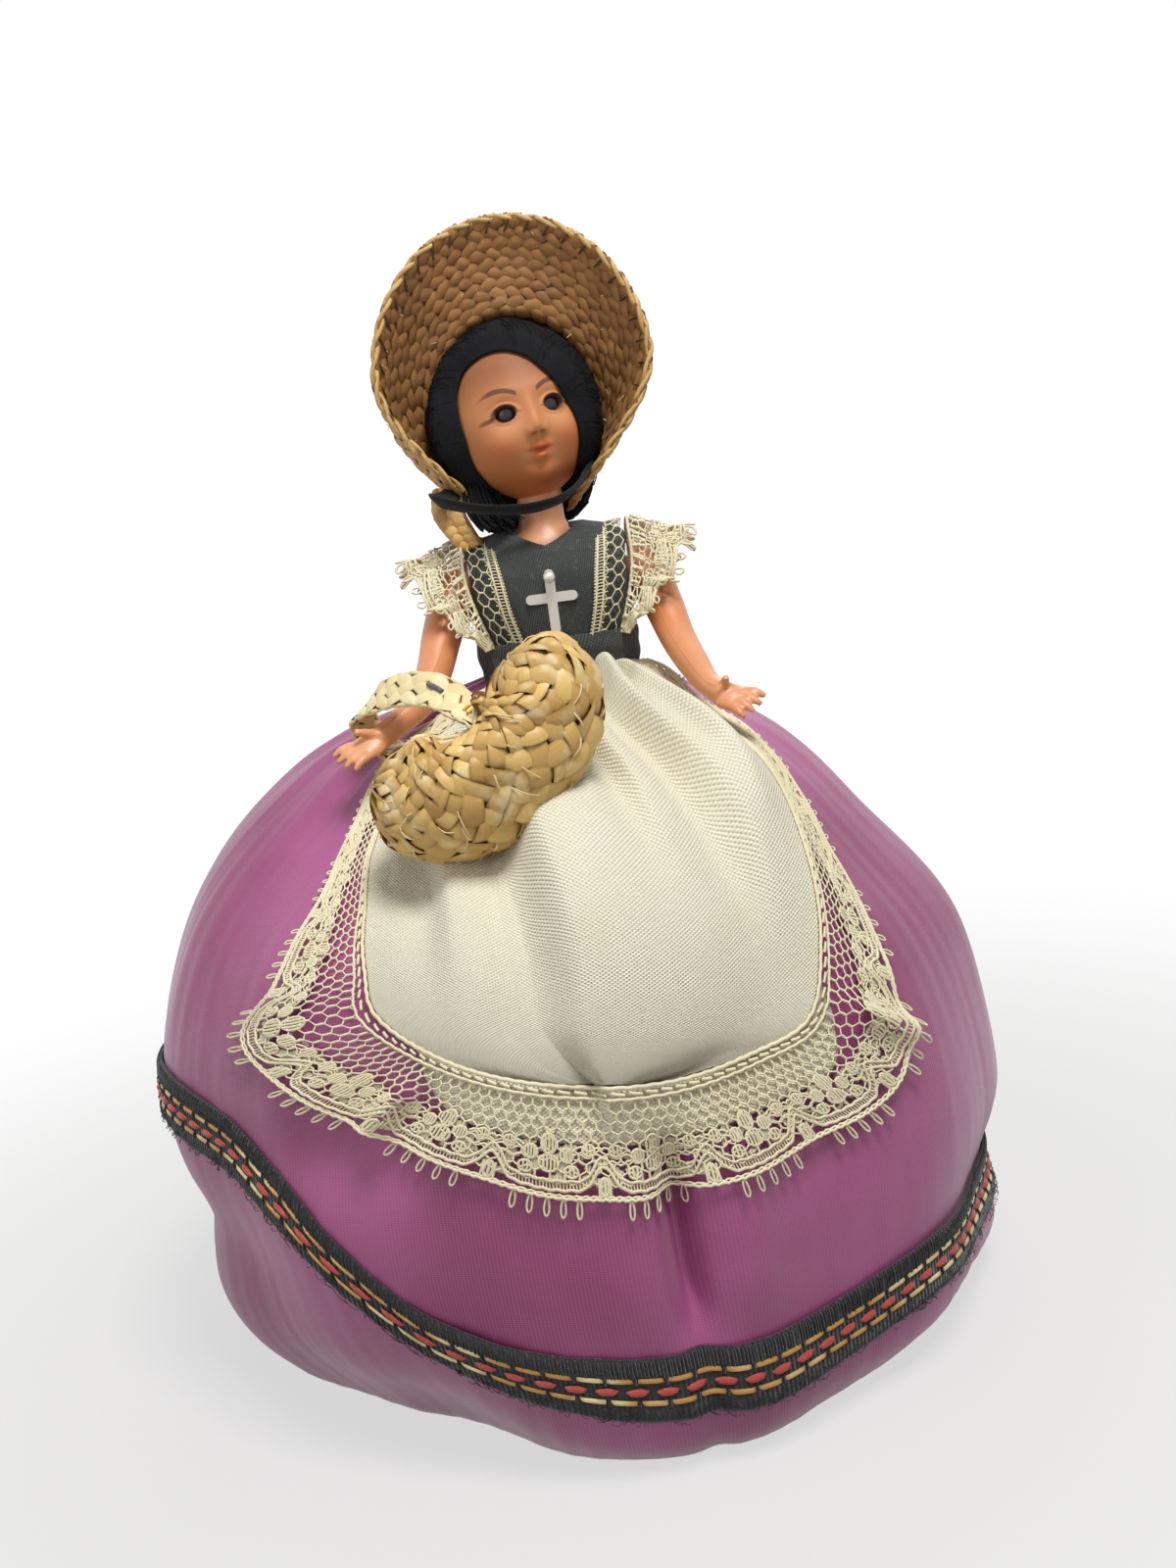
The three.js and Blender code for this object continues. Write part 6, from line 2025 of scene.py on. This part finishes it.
def make_handle(pale, dark, rng):
    path = [Vector(p) for p in HANDLE_PATH]
    wrist = Vector((-29.5, -24.5, 111.2))
    length, wide = 62.0, 5.8

    def band(u, v):
        p = catmull(path, clamp(u))
        tangent = tangent_of(path, u, 0.006)
        fading = 1 - smoothstep(u, 0.4, 0.55)
        facing = (p - wrist).normalized() + Vector((0, -0.8, 0)) * smoothstep(u, 0.05, 0.2) * fading
        across = tangent.cross(facing).normalized()
        return p + across * (v - 0.5) * wide * (0.75 + 0.25 * smoothstep(u, 0, 0.12))

    bm = grid(lambda u, v: on_body(band(u, v)), 120, 8, (length, wide))
    base = piece("handle_base", bm, dark, "basket", ["basket_handle"])
    thicken(base, 0.4 * MM, 0)
    out = outward_sign(band, 0.5, 0.5, wrist)
    bm, layer = straw_mesh()
    count = 21
    for face in (1, -1):
        for n in range(count):
            for column in (-1, 0, 1):
                u0 = (n + 0.5 + column / 3 + rng.uniform(-0.05, 0.05)) / count
                lean = math.radians((40 if (n + column) % 2 else -40) + rng.uniform(-8, 8))
                cos, sin = math.cos(lean), math.sin(lean)

                def place(a, b, h):
                    x, y = a * cos - b * sin, a * sin + b * cos + column * 1.75
                    y = clamp(y, -wide * 0.52, wide * 0.52)
                    u = clamp(u0 + x / length, 0.01, 0.99)
                    return on_body(off(band, u, 0.5 + y / wide, face * out * (0.15 + h)))

                reach, half = rng.uniform(1.8, 2.2), rng.uniform(1.05, 1.25)
                pad(bm, layer, place, reach, half, 0.5, 0.5 + 0.5 * rng.random(), droop=0.16)
    piece("handle_straw", bm, pale, "basket")
    runs = []
    steps = 120
    for edge in (0.0, 1.0):
        run = []
        for k in range(1, steps):
            p = off(band, k / steps, edge, out * 0.12 * math.sin(k * 1.4))
            run.append((on_body(p), (0.36 + 0.1 * math.sin(k * 0.9)) * MM))
        runs.append(run)
    threads("handle_edges", runs, palm_edge_finish(), "basket", sides=6)
    yellow = Finish("yellow_stitch", roughness=0.6)
    yellow.mottle(colour(206, 156, 30), colour(236, 196, 70), 900)
    runs = []
    for n in range(3):
        u = 0.06 + 0.022 * n
        run = []
        for k, lift in ((0, 0.7), (0.5, 0.95), (1, 0.7)):
            run.append((on_body(off(band, u + 0.012 * k, 0.35 + 0.3 * k, out * lift)), 0.24 * MM))
        runs.append(run)
    threads("handle_stitches", runs, yellow.material, "basket", sides=6)
    grey = Finish("grey_strip", colour(92, 92, 96), 0.7)
    grey.mottle(colour(74, 72, 76), colour(122, 122, 126), 600)
    run = [(on_body(off(band, 0.2 + 0.05 * k, 0.5 + 0.12 * k, out * 0.75)), 0.42 * MM) for k in (0, 0.5, 1)]
    threads("handle_grey_strip", [run], grey.material, "basket", sides=6)


def palm_edge_finish():
    finish = Finish("palm_edge", roughness=0.5)
    lines = finish.mottle(colour(214, 186, 122), colour(248, 236, 196), 500, 3)
    return finish.bump(lines, 0.5, 0.1 * MM)


# Looks of the solids that stay


def refinish(material, *names):
    for name in names:
        for place in NODES[name].material_slots:
            place.material = material


def plain_finish(name, dark, light, roughness, scale, depth, metal):
    """A plain surface with fine wear in its colour, gloss and relief."""
    finish = Finish(name, roughness=roughness, Metallic=metal)
    wear = finish.mottle(dark, light, scale, 3)
    finish.set("Roughness", wear * 0.25 + (roughness - 0.1))
    return finish.bump(wear, 0.4, depth * MM)


def finish_solids(skin, silver):
    refinish(skin, "body_and_legs")
    refinish(silver, "cross")
    rows = (  # name, dark, light, roughness, scale and depth of the wear, metal, solids
        ("hook_steel", (150, 152, 156), (200, 202, 206), 0.35, 400, 0.03, 0.9,
         ("arm_hook_left", "arm_hook_right", "neck_hook")),
        ("lead_weight", (92, 95, 98), (130, 132, 134), 0.6, 300, 0.1, 0.6, ("eye_rocker",)),
        ("elastic_cord", (196, 184, 160), (226, 216, 196), 0.85, 1500, 0.1, 0.0, ("arm_elastic",)),
        ("shoe_plastic", (16, 16, 16), (34, 33, 32), 0.4, 250, 0.05, 0.0, ("shoe_left", "shoe_right")),
    )
    for name, dark, light, roughness, scale, depth, metal, solids in rows:
        made = plain_finish(name, colour(*dark), colour(*light), roughness, scale, depth, metal)
        refinish(made, *solids)


add_stage()
make_skirt()
make_petticoat()
make_braid()
make_apron()
make_apron_lace()
make_head()
make_eyes()
make_wig()
make_hat()
make_ribbon()
make_bodice()
make_bretelles()
skin_look = skin_finish()
silver_look = silver_finish()
make_neck(skin_look)
make_arm("left", skin_look)
make_arm("right", skin_look)
make_pin(silver_look)
make_basket()
finish_solids(skin_look, silver_look)
